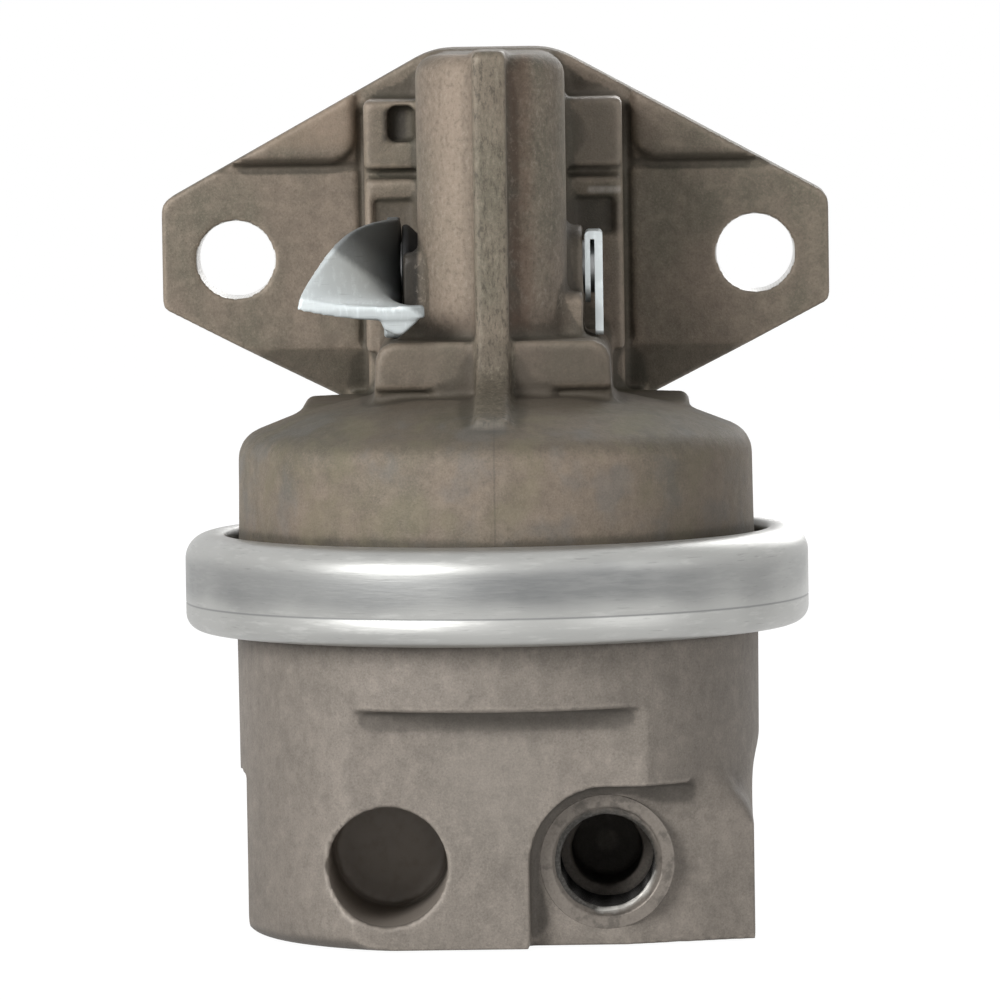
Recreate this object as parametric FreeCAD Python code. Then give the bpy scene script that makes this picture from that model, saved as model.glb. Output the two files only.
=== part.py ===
import FreeCAD, Part

import math
import os

# Mechanical fuel transfer pump: a cast upper body with a two-bolt flange, a diaphragm worked by a
# rocker arm, a hand primer lever, and a cast lower body with two ports, joined by a rolled ring.
# Millimetres. The pump axis is Z, with Z = 0 at the foot while the pieces are made. +Y points to the
# engine. At the end every piece is moved so that the origin is the middle of the two bolt holes on
# the mating face.

# Flange
bolt_spacing = 60.0
bolt_hole_d = 9.0
bolt_height = 74.7
mating_distance = 38.0
flange_thickness = 10.0
flange_half_width = 38.5
flange_end_below = 5.5
flange_end_above = 6.7
flange_top_slope = 28.0
flange_bottom_slope = 27.5
flange_foot = 55.5
plateau_rise = 1.4
plateau_foot = 85.7
pad_bottom = 64.5
neck_groove = 1.1

# Tower, neck and base of the upper body
tower_r = 8.4
tower_top = 98.6
tower_wall = 2.0
rib_width = 3.75
rib_stand = 3.1
neck_half_width = 14.8
neck_front = 18.0
neck_top = 93.1
base_half_width = 13.5
base_front = 10.5
base_top = 66.7
base_bottom = 61.3

# Dome and clamped edge
dome_r = 28.9
dome_wall = 3.0
dome_shoulder = 53.2
rear_pad_top = 59.0
rear_pad_half_width = 22.1
rear_tie_half_width = 17.0
clamp_r = 33.5
clamp_thickness = 3.4
clamp_height = 39.2

# Rolled ring
ring_wall = 1.5
ring_clearance = 0.1
ring_gap = 0.35

# Lower body
lower_r = 29.4
lower_draft = 0.25
side_flat = 28.4
left_step = 18.4
right_step = 19.6
front_flat = 24.2
front_ledge = 26.7
foot_radius = 2.3
port_height = 9.3
inlet_x = -12.3
inlet_r = 6.65
inlet_depth = 21.5
outlet_x = 12.0
outlet_r = 5.2
outlet_depth = 24.0
spot_face_r = 8.6
spot_face_y = 20.7
corner_y = 16.0
chamber_r = 26.3
deck_height = 34.3

# Diaphragm and rod
diaphragm_thickness = 1.0
diaphragm_drop = 2.0
plate_thickness = 1.2
plate_r = 17.0
rod_r = 2.5
rod_neck_r = 1.8
rod_end_r = 2.0
rod_head_r = 3.5
rod_head_thickness = 1.6
rod_travel = 4.0
main_spring_r = 9.5
main_spring_wire = 1.8

# Rocker arm
pin_r = 3.5
pin_y = 24.0
pin_height = 80.0
bush_wall = 1.4
hub_wall = 2.6
hub_half_width = 5.7
arm_half_width = 4.2
fork_r = 5.7
fork_nose_r = 3.2
pad_y = 70.0
pad_height = 80.5
pad_half_width = 6.5
return_spring_r = 4.6
return_spring_wire = 1.1

# Hand primer
shaft_r = 3.0
shaft_y = 6.0
shaft_height = 74.3
shaft_end_r = 2.2
cam_flat_depth = 2.5
boss_half_width = 10.2
lever_thickness = 1.5
lever_gap = 0.2
lever_head_r = 6.2
end_plate_thickness = 0.9
primer_seal_depth = 1.8

# Valves in the lower body
valve_y = 6.0
valve_r = 7.0
valve_hole_r = 2.6
valve_disc_r = 4.4
valve_disc_thickness = 0.8
valve_wall = 1.0
valve_spring_r = 2.6
valve_spring_wire = 0.5

# Clearances
running = 0.05
push_fit = 0.03
free_gap = 0.5

# Heights and places that follow from the sizes above
diaphragm_top = clamp_height + diaphragm_thickness
upper_clamp_top = diaphragm_top + clamp_thickness
lower_clamp_bottom = clamp_height - clamp_thickness
centre_low = clamp_height - diaphragm_drop
mating_y = mating_distance
flange_front = mating_y - flange_thickness
nose_height = pin_height - rod_travel / 2
crest_height = nose_height + fork_nose_r
arm_underside = shaft_height + shaft_r + free_gap - 0.1
tower_inside_r = tower_r - tower_wall
tower_roof = tower_top - 2.5
bush_r = pin_r + running + bush_wall
hub_r = bush_r + push_fit + hub_wall
seal_roof = 60.5
retainer_top = 57.0
primer_seal_r = shaft_r + 0.9
boot_neck_r = shaft_r + 0.7
boot_r = shaft_r + 2.0
retainer_r = 12.6
valve_floor = deck_height - 7.6
valve_top = deck_height - 0.2


def place(plane, a, b, depth):
    """The point a, b of a drawing plane, at a depth along its normal."""
    if plane == "XY":
        return FreeCAD.Vector(a, b, depth)
    if plane == "XZ":
        return FreeCAD.Vector(a, depth, b)
    return FreeCAD.Vector(depth, a, b)


def outline(corners, plane, depth=0.0):
    """A closed wire through the corners (a, b, radius), each rounded by its radius."""
    flat = [FreeCAD.Vector(a, b, 0) for a, b, radius in corners]
    starts, middles, ends = [], [], []
    for i, (a, b, radius) in enumerate(corners):
        corner = flat[i]
        back = (flat[i - 1] - corner).normalize()
        ahead = (flat[(i + 1) % len(flat)] - corner).normalize()
        half = back.getAngle(ahead) / 2
        reach = radius / math.tan(half)
        inward = (back + ahead).normalize() if radius else FreeCAD.Vector()
        starts.append(corner + back * reach)
        ends.append(corner + ahead * reach)
        middles.append(corner + inward * (radius / math.sin(half) - radius))
    edges = []
    for i, (a, b, radius) in enumerate(corners):
        start, middle, end = (place(plane, p.x, p.y, depth) for p in (starts[i], middles[i], ends[i]))
        if radius:
            edges.append(Part.Arc(start, middle, end).toShape())
        after = starts[(i + 1) % len(flat)]
        after = place(plane, after.x, after.y, depth)
        if end.distanceToPoint(after) > 1e-6:
            edges.append(Part.LineSegment(end, after).toShape())
    return Part.Wire(edges)


def prism(corners, plane, start, end):
    """A solid between two depths along the plane's normal, with rounded corners."""
    face = Part.Face(outline(corners, plane, start))
    return face.extrude(place(plane, 0, 0, end - start))


def turned(corners):
    """A solid of revolution about the pump axis from corners (r, z, radius)."""
    face = Part.Face(outline(corners, "XZ"))
    return face.revolve(FreeCAD.Vector(), FreeCAD.Vector(0, 0, 1), 360)


def rod_z(radius, low, high, x=0.0, y=0.0):
    return Part.makeCylinder(radius, high - low, FreeCAD.Vector(x, y, low), FreeCAD.Vector(0, 0, 1))


def rod_y(radius, near, far, x, z):
    return Part.makeCylinder(radius, far - near, FreeCAD.Vector(x, near, z), FreeCAD.Vector(0, 1, 0))


def rod_x(radius, left, right, y, z):
    return Part.makeCylinder(radius, right - left, FreeCAD.Vector(left, y, z), FreeCAD.Vector(1, 0, 0))


def block(x0, x1, y0, y1, z0, z1):
    return Part.makeBox(x1 - x0, y1 - y0, z1 - z0, FreeCAD.Vector(x0, y0, z0))


def joined(shapes):
    result = shapes[0].multiFuse(shapes[1:])
    return result.removeSplitter()


def without(shape, cutters):
    return shape.cut(cutters[0] if len(cutters) == 1 else cutters[0].multiFuse(cutters[1:]))


def rounded(shape, radius, chosen):
    """Rounds the edges for which chosen(edge's bounding box, edge) is true."""
    edges = [edge for edge in shape.Edges if chosen(edge.BoundBox, edge)]
    return shape.makeFillet(radius, edges)


def half_coil(mean_r, wire, low, rise, side):
    """Half a turn of eight-sided wire that starts and ends level and climbs by its rise in between."""
    start = FreeCAD.Vector(side * mean_r, 0, low)
    end = FreeCAD.Vector(-side * mean_r, 0, low + rise)
    level = FreeCAD.Vector(0, 1, 0)
    corners = []
    for number in range(9):
        angle = math.radians(45 * number + 22.5)
        corners.append(start + FreeCAD.Vector(math.cos(angle), 0, math.sin(angle)) * (wire / 2))
    section = Part.Face(Part.makePolygon(corners))
    return section.revolve((start + end) / 2, (start - end).cross(level * side), 180)


def spring(mean_r, wire, low, high, open_halves, x=0.0, y=0.0):
    """A coil spring between two heights, with a closed and flat-ground coil at each end."""
    closed = wire * 0.52
    ground = wire * 0.25
    span = high - low - 2 * ground
    rises = [closed] * 2 + [(span - 4 * closed) / open_halves] * open_halves + [closed] * 2
    level = low + ground
    halves = []
    for number, rise in enumerate(rises):
        halves.append(half_coil(mean_r, wire, level, rise, 1 if number % 2 == 0 else -1))
        level += rise
    reach = mean_r + wire
    coil = joined(halves).common(block(-reach, reach, -reach, reach, low, high))
    coil.translate(FreeCAD.Vector(x, y, 0))
    return coil


def flange_top_at(x):
    rise = (flange_half_width - abs(x)) * math.tan(math.radians(flange_top_slope))
    return bolt_height + flange_end_above + rise


def flange_outline_corners():
    """The two-bolt flange: vertical ends, slopes above and below, a round apex and a short foot."""
    top = bolt_height + flange_end_above
    low = bolt_height - flange_end_below
    apex_x = 7.0
    foot_x = flange_half_width - (low - flange_foot) / math.tan(math.radians(flange_bottom_slope))
    apex = flange_top_at(apex_x) + 0.6
    return [(-flange_half_width, low, 1.2), (-foot_x, flange_foot, 2.0), (foot_x, flange_foot, 2.0),
            (flange_half_width, low, 1.2), (flange_half_width, top, 2.0),
            (apex_x, apex, 9.0), (-apex_x, apex, 9.0), (-flange_half_width, top, 2.0)]


def flange():
    plate = prism(flange_outline_corners(), "XZ", flange_front, mating_y)
    # Below the bolt pads the front face falls back towards the foot.
    reach = flange_half_width + 5
    above = tower_top + 5
    slope = prism([(flange_front - 5, pad_bottom, 0), (flange_front, pad_bottom, 0),
                   (flange_front + 6.5, flange_foot - 2, 0), (flange_front - 5, flange_foot - 2, 0)],
                  "YZ", -reach, reach)
    plate = plate.cut(slope)
    # Above the pads the plate is thicker up to its sloping edge, with a groove below and one beside the neck.
    outer_form = prism(flange_outline_corners(), "XZ", flange_front - plateau_rise - 1, mating_y)
    raised, grooves = [], []
    inner = neck_half_width + neck_groove
    for side in (-1, 1):
        plateau = prism([(side * inner, plateau_foot, 3.0), (side * reach, plateau_foot, 0),
                         (side * reach, above, 0), (side * inner, above, 0)],
                        "XZ", flange_front - plateau_rise, flange_front + 1)
        plateau = rounded(plateau, 1.2, lambda box, edge: box.YMax < flange_front - plateau_rise + 0.01
                          and box.ZMin < above - 0.1 and min(abs(box.XMin), abs(box.XMax)) < reach - 0.1)
        raised.append(plateau.common(outer_form))
        low_groove = sorted((side * inner, side * reach))
        grooves.append(block(*low_groove, flange_front - 3, flange_front + 0.5, plateau_foot - 1.0, plateau_foot))
        neck_side = sorted((side * neck_half_width, side * inner))
        grooves.append(block(*neck_side, flange_front - 3, flange_front + 0.8, pad_bottom, neck_top - 1.0))
    holes = [rod_y(bolt_hole_d / 2, flange_front - 3, mating_y + 1, side * bolt_spacing / 2, bolt_height)
             for side in (-1, 1)]
    return without(joined([plate] + raised), holes + grooves)


def dome():
    """The bell over the diaphragm with its clamped edge, hollow below."""
    outer = turned([(0, clamp_height + diaphragm_thickness, 0), (clamp_r, diaphragm_top, 0),
                    (clamp_r, upper_clamp_top, 0.6), (dome_r + 0.15, upper_clamp_top, 0.8),
                    (dome_r, dome_shoulder + 2.6, 3.4), (22.0, 58.5, 0), (14.0, 60.3, 0),
                    (0, 60.9, 0)])
    inner_r = dome_r - dome_wall
    hollow = turned([(0, clamp_height, 0), (inner_r, clamp_height, 0), (inner_r, dome_shoulder - 0.8, 3.0),
                     (22.0, 55.3, 0), (retainer_r + 0.8, retainer_top, 0), (0, retainer_top, 0)])
    return outer, hollow


def rear_pad():
    """The thick shoulder behind the dome that ties it to the flange."""
    back = mating_y - 2
    side = rear_pad_half_width
    pad = prism([(-side, -2.0, 3.0), (side, -2.0, 3.0), (side, back, 0), (-side, back, 0)],
                "XY", dome_shoulder - 4, rear_pad_top)
    pad = rounded(pad, 0.9, lambda box, edge: box.ZMin > rear_pad_top - 0.1)
    limit = rod_z(dome_r + 4.6, dome_shoulder - 4, rear_pad_top + 1)
    tie = rear_tie_half_width
    return pad.common(limit.fuse(block(-tie, tie, neck_front, back + 1, flange_foot, rear_pad_top + 1)))


def base_block():
    lean = 0.5
    front = prism([(-base_half_width, base_bottom - 3.5, 0), (base_half_width, base_bottom - 3.5, 0),
                   (base_half_width - lean, base_top, 2.2), (-base_half_width + lean, base_top, 2.2)],
                  "XZ", -base_front, neck_front + 2)
    undercut = block(-20, 20, -base_front - 5, -base_front + 1.2, base_bottom - 10, base_bottom)
    shaped = front.cut(undercut)
    return rounded(shaped, 0.5, lambda box, edge: box.YMax < -base_front + 0.05 and box.ZMin > base_bottom - 0.1
                   and edge.Length > 1.0)


def tower():
    """The round tower over the rod, and the waist that carries it back to the flange."""
    round_part = rounded(rod_z(tower_r, base_bottom, tower_top), 2.4, lambda box, edge: box.ZMin > tower_top - 0.1)
    waist = prism([(-tower_r + 0.2, base_bottom, 0), (tower_r - 0.2, base_bottom, 0),
                   (tower_r - 0.2, tower_top - 0.2, 3.0), (-tower_r + 0.2, tower_top - 0.2, 3.0)],
                  "XZ", 0, flange_front + 1)
    return round_part, waist


def rib():
    """The thin web down the front of the tower, running out over the dome as a low foot."""
    front = -tower_r - rib_stand
    side = [(2.0, tower_top + 0.5, 0), (front + 0.2, tower_top + 0.5, 1.0), (front, base_bottom + 1.2, 4.0),
            (-24.0, 58.7, 0.5), (-24.0, 56.5, 0), (2.0, 56.5, 0)]
    half = rib_width / 2
    web = prism(side, "YZ", -half, half)
    return rounded(web, 0.4, lambda box, edge: box.YMax < front + 0.6 and abs(box.XMax - box.XMin) < 0.01)


def neck():
    """The block between the waist and the flange, stepped into boxes with a slot between them."""
    middle = block(-neck_half_width, neck_half_width, neck_front, mating_y - 2, flange_foot + 1, neck_top)
    middle = rounded(middle, 0.7, lambda box, edge: box.YMax < neck_front + 0.05 and box.ZMax > bolt_height)
    cuts = []
    beyond = neck_half_width + 2
    for side in (-1, 1):
        slot = sorted((side * 8.0, side * beyond))
        cuts.append(block(*slot, neck_front - 1, neck_front + 1.6, bolt_height + 9.4, bolt_height + 10.6))
        # Beside the base block the neck is narrower.
        strip = sorted((side * (base_half_width - 0.1), side * beyond))
        cuts.append(block(*strip, neck_front - 1, flange_front - 1, flange_foot, pad_bottom - 0.2))
        # Each lower box has a shallow hollow.
        hollow = sorted((side * 9.0, side * (neck_half_width - 0.9)))
        cuts.append(block(*hollow, neck_front - 1, neck_front + 0.8, pin_height - 2.6, pin_height + 1.9))
    # The small square core mark on the left box.
    cuts.append(block(-12.0, -8.9, neck_front - 1, neck_front + 2.2, 88.3, 92.4))
    return without(middle, cuts)


def primer_bosses():
    """The boss at the right end of the primer shaft with its step, and the left step in front of the boot."""
    upper = prism([(1.2, base_bottom, 0), (12.4, base_bottom, 0), (12.4, shaft_height + 4.6, 2.5),
                   (1.2, shaft_height + 4.6, 3.4)], "YZ", 0, boss_half_width)
    lower = prism([(-3.4, base_bottom, 0), (12.4, base_bottom, 0), (12.4, shaft_height - 2.6, 0),
                   (-3.4, shaft_height - 2.6, 1.0)], "YZ", 0, boss_half_width - 0.1)
    step_back = shaft_y - boot_r - 0.3
    step_top = shaft_height + 2.1
    below_boot = shaft_height - boot_r - 0.4
    left = prism([(-3.4, base_bottom, 0), (12.4, base_bottom, 0), (12.4, below_boot, 0), (step_back, below_boot, 0),
                  (step_back, step_top, 0), (-3.4, step_top, 1.0)], "YZ", -boss_half_width + 0.2, 0)
    return [upper, lower, left]


def mechanism_space():
    """The inside of the tower, the arm's passage, the hub chamber and the opening to the engine."""
    arm_side = fork_r + free_gap
    hub_side = hub_half_width + free_gap
    floor = shaft_height - shaft_r - 1.2
    spaces = [rod_z(tower_inside_r, floor, tower_roof),
              block(-arm_side, arm_side, 0, pin_y - hub_r, floor, pin_height + 6.4),
              block(-hub_side, hub_side, pin_y - hub_r - 1.2, flange_front + 2, floor, pin_height + hub_r + 1.2),
              prism([(-10.5, floor - 2.4, 3.0), (10.5, floor - 2.4, 3.0), (10.5, pin_height + hub_r + 2.4, 3.0),
                     (-10.5, pin_height + hub_r + 2.4, 3.0)], "XZ", flange_front - 0.6, mating_y + 1)]
    return spaces


def upper_body():
    outer, hollow = dome()
    round_tower, waist = tower()
    solids = [outer, rear_pad(), base_block(), waist, round_tower, rib(), flange()]
    solids += [neck()] + primer_bosses()
    body = joined(solids)
    seal_pocket = rod_z(valve_r, retainer_top - 1, seal_roof)
    rod_hole = rod_z(rod_r + running, retainer_top, shaft_height)
    shaft_hole = rod_x(shaft_r + running, -boss_half_width - 1, boss_half_width + 1, shaft_y, shaft_height)
    pin_hole = rod_x(pin_r + running, -neck_half_width - 4, neck_half_width + 4, pin_y, pin_height)
    seal_hole = rod_x(primer_seal_r, boss_half_width - primer_seal_depth, boss_half_width + 1, shaft_y, shaft_height)
    cutters = [hollow, seal_pocket, rod_hole, shaft_hole, pin_hole, seal_hole] + mechanism_space()
    return without(body, cutters)


def crimp_ring():
    """The rolled steel ring that clamps both castings and the diaphragm's edge."""
    outer = clamp_r + ring_clearance + ring_wall
    inner = clamp_r + ring_clearance
    top = upper_clamp_top + ring_wall
    bottom = lower_clamp_bottom - ring_wall
    return turned([(dome_r + 1.6, upper_clamp_top, 0), (inner, upper_clamp_top, 0),
                   (inner, lower_clamp_bottom, 0), (lower_r + ring_gap, lower_clamp_bottom, 0),
                   (lower_r + ring_gap, bottom, 0.6), (outer, bottom, 1.7), (outer, top, 2.8),
                   (dome_r + 1.6, top, 0.7)])


def lower_body():
    foot_r = lower_r - lower_draft
    outer = turned([(0, 0, 0), (foot_r, 0, foot_radius), (lower_r, lower_clamp_bottom, 0.3),
                    (clamp_r, lower_clamp_bottom, 0.4), (clamp_r, clamp_height, 0), (0, clamp_height, 0)])
    # The corner boss stands out of the round body at the lower right.
    boss_top = port_height + spot_face_r
    boss = prism([(20.0, -corner_y - 6.0, 0), (side_flat, -corner_y - 3.0, 0), (side_flat, 4.0, 0), (20.0, 4.0, 0)],
                 "XY", 0, boss_top)
    lean = prism([(side_flat - 3.2, boss_top + 0.01, 0), (side_flat + 1, boss_top - 4.2, 0),
                  (side_flat + 1, boss_top + 1, 0), (side_flat - 3.2, boss_top + 1, 0)], "XZ", -40, 40)
    body = outer.fuse(boss.cut(lean))
    body = body.removeSplitter()
    reach = clamp_r + 5
    front = block(-reach, reach, -reach, -front_flat, -1, front_ledge)
    left = block(-reach, -side_flat, -reach, reach, -1, left_step)
    right = block(side_flat, reach, -reach, reach, -1, right_step)
    arch = prism([(outlet_x - spot_face_r, -1, 0), (reach, -1, 0), (reach, boss_top, 0),
                  (outlet_x - spot_face_r, boss_top, spot_face_r)], "XZ", -reach, -spot_face_y)
    slant = prism([(14.0, -spot_face_y, 0), (side_flat, -corner_y, 0), (reach, -corner_y, 0), (reach, -reach, 0),
                   (14.0, -reach, 0)], "XY", -1, boss_top)
    body = without(body, [front, left, right, arch, slant])
    chamber = turned([(0, deck_height, 0), (chamber_r - 3, deck_height, 1.5), (chamber_r, clamp_height + 1, 0),
                      (0, clamp_height + 1, 0)])
    rivet_space = rod_z(rod_head_r + 1.2, deck_height - 1.2, deck_height + 1)
    inlet = rod_y(inlet_r, -reach, -front_flat + inlet_depth, inlet_x, port_height)
    outlet = rod_y(outlet_r, -reach, -spot_face_y + 14.0, outlet_x, port_height)
    countersink = Part.makeCone(outlet_r + 1.0, outlet_r, 1.0, FreeCAD.Vector(outlet_x, -spot_face_y, port_height),
                                FreeCAD.Vector(0, 1, 0))
    gallery = rod_y(outlet_r - 1.2, -spot_face_y, -spot_face_y + outlet_depth, outlet_x, port_height)
    passages = [rod_z(3.0, port_height, valve_floor + 1, x, -valve_y) for x in (inlet_x, outlet_x)]
    pockets = [rod_z(valve_r + push_fit, valve_floor, deck_height + 1, x, -valve_y) for x in (inlet_x, outlet_x)]
    pockets.append(rod_z(valve_disc_r + 0.4, valve_floor - 1.6, valve_floor + 1, outlet_x, -valve_y))
    return without(body, [chamber, rivet_space, inlet, outlet, countersink, gallery] + passages + pockets)


def diaphragm():
    """The moulded diaphragm: a flat centre, one roll and a clamped edge."""
    low = centre_low - diaphragm_thickness / 2
    edge = clamp_height
    thick = diaphragm_thickness
    roll = 1.2
    return turned([(rod_end_r + running, low, 0), (plate_r + 1.0, low, roll), (plate_r + 4.0, edge + 0.6, roll),
                   (chamber_r - 2.6, edge + 0.6, roll), (chamber_r - 1.4, edge, 0), (clamp_r - 0.1, edge, 0),
                   (clamp_r - 0.1, edge + thick, 0), (chamber_r - 2.0, edge + thick, 0),
                   (chamber_r - 3.0, edge + thick + 0.6, 0), (plate_r + 3.4, edge + thick + 0.6, 0),
                   (plate_r + 0.4, low + thick, 0), (rod_end_r + running, low + thick, 0)])


def diaphragm_plate(low):
    return turned([(rod_end_r + running, low, 0), (plate_r, low, 0), (plate_r, low + plate_thickness, 0),
                   (rod_end_r + running, low + plate_thickness, 0)])


def lower_plate():
    return diaphragm_plate(centre_low - diaphragm_thickness / 2 - plate_thickness)


def upper_plate():
    return diaphragm_plate(centre_low + diaphragm_thickness / 2)


def diaphragm_rod():
    """The rod with its button head, necked for the fork, and riveted under the lower plate."""
    stack_top = centre_low + diaphragm_thickness / 2 + plate_thickness
    stack_bottom = centre_low - diaphragm_thickness / 2 - plate_thickness
    neck_low = nose_height - fork_nose_r - 0.8
    head_low = crest_height + 0.1
    head_top = head_low + rod_head_thickness
    return turned([(0, stack_bottom - 1.1, 0), (rod_end_r + 1.2, stack_bottom - 1.1, 0.6),
                   (rod_end_r + 1.2, stack_bottom, 0), (rod_end_r, stack_bottom, 0), (rod_end_r, stack_top, 0),
                   (rod_r, stack_top, 0), (rod_r, neck_low - 0.3, 0), (rod_neck_r, neck_low, 0),
                   (rod_neck_r, head_low, 0), (rod_head_r, head_low, 0), (rod_head_r, head_top, 0.6),
                   (0, head_top, 0)])


def rod_seal():
    """The oil seal round the rod: a rubber ring with two lips."""
    outer = valve_r - push_fit
    inner = rod_r + running
    return turned([(inner, retainer_top + 0.3, 0), (inner + 1.2, retainer_top, 0), (outer, retainer_top, 0),
                   (outer, seal_roof, 0), (inner + 1.2, seal_roof, 0), (inner, seal_roof - 0.3, 0),
                   (inner, seal_roof - 1.2, 0), (inner + 0.5, seal_roof - 1.6, 0),
                   (inner + 0.5, retainer_top + 1.6, 0), (inner, retainer_top + 1.2, 0)])


def seal_retainer():
    """The pressed plate under the seal, which is also the upper seat of the main spring."""
    low = retainer_top - 1.0
    return turned([(rod_r + 0.7, low, 0), (retainer_r, low, 0), (retainer_r, retainer_top, 0),
                   (rod_r + 0.7, retainer_top, 0)])


def diaphragm_spring():
    low = centre_low + diaphragm_thickness / 2 + plate_thickness
    return spring(main_spring_r, main_spring_wire, low, retainer_top - 1.0, 5)


def rocker_blanks():
    """The fork's nose, the arm over the primer shaft and the hub, before the fork is cut to its outline."""
    nose = rod_x(fork_nose_r, -fork_r, fork_r, 0, nose_height)
    nose = nose.common(block(-fork_r, fork_r, -fork_nose_r - 1, 2.4, nose_height - 1.0, crest_height + 1))
    level = shaft_y + shaft_r + 1.5
    inner = prism([(0, arm_underside, 0), (level, arm_underside, 0), (pin_y, arm_underside - 1.2, 0),
                   (pin_y, pin_height + hub_r - 0.6, 0), (pin_y - hub_r - 2.5, crest_height + 0.4, 6.0),
                   (fork_r + 1.2, crest_height - 1.0, 3.0), (0, crest_height - 1.0, 0)], "YZ", -fork_r, fork_r)
    hub = rod_x(hub_r, -hub_half_width, hub_half_width, pin_y, pin_height)
    return nose, inner, hub


def rocker_arm():
    nose, inner, hub = rocker_blanks()
    front = rod_z(fork_r, nose_height - 9, crest_height + 9).fuse(
        block(-fork_r, fork_r, 0, pin_y, nose_height - 9, crest_height + 9))
    fork = nose.fuse(inner).common(front)
    slot = rod_z(rod_neck_r + 0.35, nose_height - 9, crest_height + 9).fuse(
        block(-rod_neck_r - 0.35, rod_neck_r + 0.35, -9, 0, nose_height - 9, crest_height + 9))
    fork = fork.cut(slot)
    # The outer arm bows down out of the flange opening and rises to the hardened pad.
    drop = 4.2
    outer = prism([(pin_y - 2, pin_height - hub_r + 1.0, 0), (pin_y + 22, pin_height - drop - 4.0, 14.0),
                   (pad_y - 5, pad_height - 7.5, 10.0), (pad_y + 4.0, pad_height - 5.0, 2.5),
                   (pad_y + 4.6, pad_height + 0.2, 3.0), (pad_y - 6.5, pad_height + 0.2, 3.0),
                   (pin_y + 24, pin_height - drop + 3.8, 16.0), (pin_y - 2, pin_height + hub_r - 1.0, 0)],
                  "YZ", -arm_half_width, arm_half_width)
    crown_r = 16.0
    pad = rod_x(crown_r, -pad_half_width, pad_half_width, pad_y - 0.9, pad_height - crown_r + 0.9)
    pad_zone = prism([(pad_y - 6.6, pad_height - 3.4, 1.0), (pad_y + 4.8, pad_height - 3.4, 1.0),
                      (pad_y + 4.8, pad_height + 3, 0), (pad_y - 6.6, pad_height + 3, 0)],
                     "YZ", -pad_half_width, pad_half_width)
    arm = joined([fork, hub, outer, pad.common(pad_zone)])
    return arm.cut(rod_x(bush_r + push_fit, -hub_half_width - 1, hub_half_width + 1, pin_y, pin_height))


def rocker_bush():
    tube = rod_x(bush_r, -hub_half_width, hub_half_width, pin_y, pin_height)
    return tube.cut(rod_x(pin_r + running, -hub_half_width - 1, hub_half_width + 1, pin_y, pin_height))


def rocker_pin():
    pin = rod_x(pin_r, -neck_half_width, neck_half_width, pin_y, pin_height)
    pin = pin.makeChamfer(0.4, [edge for edge in pin.Edges if edge.BoundBox.XMax - edge.BoundBox.XMin < 0.01])
    # A centre-punched dimple in each end spreads the pin into its hole.
    dimples = [Part.makeCone(1.4, 0.2, 1.2, FreeCAD.Vector(side * neck_half_width, pin_y, pin_height),
                             FreeCAD.Vector(-side, 0, 0)) for side in (-1, 1)]
    return without(pin, dimples)


def return_spring_seat():
    low = crest_height + 0.08
    return turned([(rod_head_r + 0.35, low, 0), (fork_r, low, 0), (fork_r, low + 1.0, 0),
                   (rod_head_r + 0.35, low + 1.0, 0)])


def rocker_return_spring():
    return spring(return_spring_r, return_spring_wire, crest_height + 1.08, tower_roof, 6)


def primer_shaft():
    """The shaft across the tower, half cut away in the middle as a cam, with a staked head at its left end."""
    right_plate = boss_half_width + lever_gap + 1.1
    left_face = -boss_half_width - lever_gap
    body = rod_x(shaft_r, left_face, right_plate, shaft_y, shaft_height)
    left_end = rod_x(shaft_end_r, left_face - lever_thickness, left_face, shaft_y, shaft_height)
    left_head = rod_x(shaft_end_r + 0.9, left_face - lever_thickness - 0.8, left_face - lever_thickness,
                      shaft_y, shaft_height)
    right_end = rod_x(shaft_end_r, right_plate, right_plate + end_plate_thickness, shaft_y, shaft_height)
    left_head = rounded(left_head, 0.5, lambda box, edge: box.XMax < left_face - lever_thickness - 0.7)
    flat_side = fork_r + free_gap
    flat = block(-flat_side, flat_side, shaft_y - 5, shaft_y + 5, shaft_height + shaft_r - cam_flat_depth,
                 shaft_height + 5)
    return joined([body, left_end, left_head, right_end]).cut(flat)


def sheet_section(y, left, middle, right, thickness=lever_thickness):
    """A closed strip of sheet in the XZ plane that follows the arc through three points."""
    half = thickness / 2
    (x1, z1), (x2, z2), (x3, z3) = left, middle, right
    arc = Part.Arc(FreeCAD.Vector(x1, y, z1), FreeCAD.Vector(x2, y, z2), FreeCAD.Vector(x3, y, z3)).toShape()
    centre, radius = arc.Curve.Center, arc.Curve.Radius
    rims = []
    for r in (radius - half, radius + half):
        rims.append([centre + (FreeCAD.Vector(x, y, z) - centre).normalize() * r
                     for x, z in (left, middle, right)])
    inner, outer = rims
    return Part.Wire([Part.Arc(*inner).toShape(), Part.LineSegment(inner[2], outer[2]).toShape(),
                      Part.Arc(outer[2], outer[1], outer[0]).toShape(),
                      Part.LineSegment(outer[0], inner[0]).toShape()])


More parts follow.
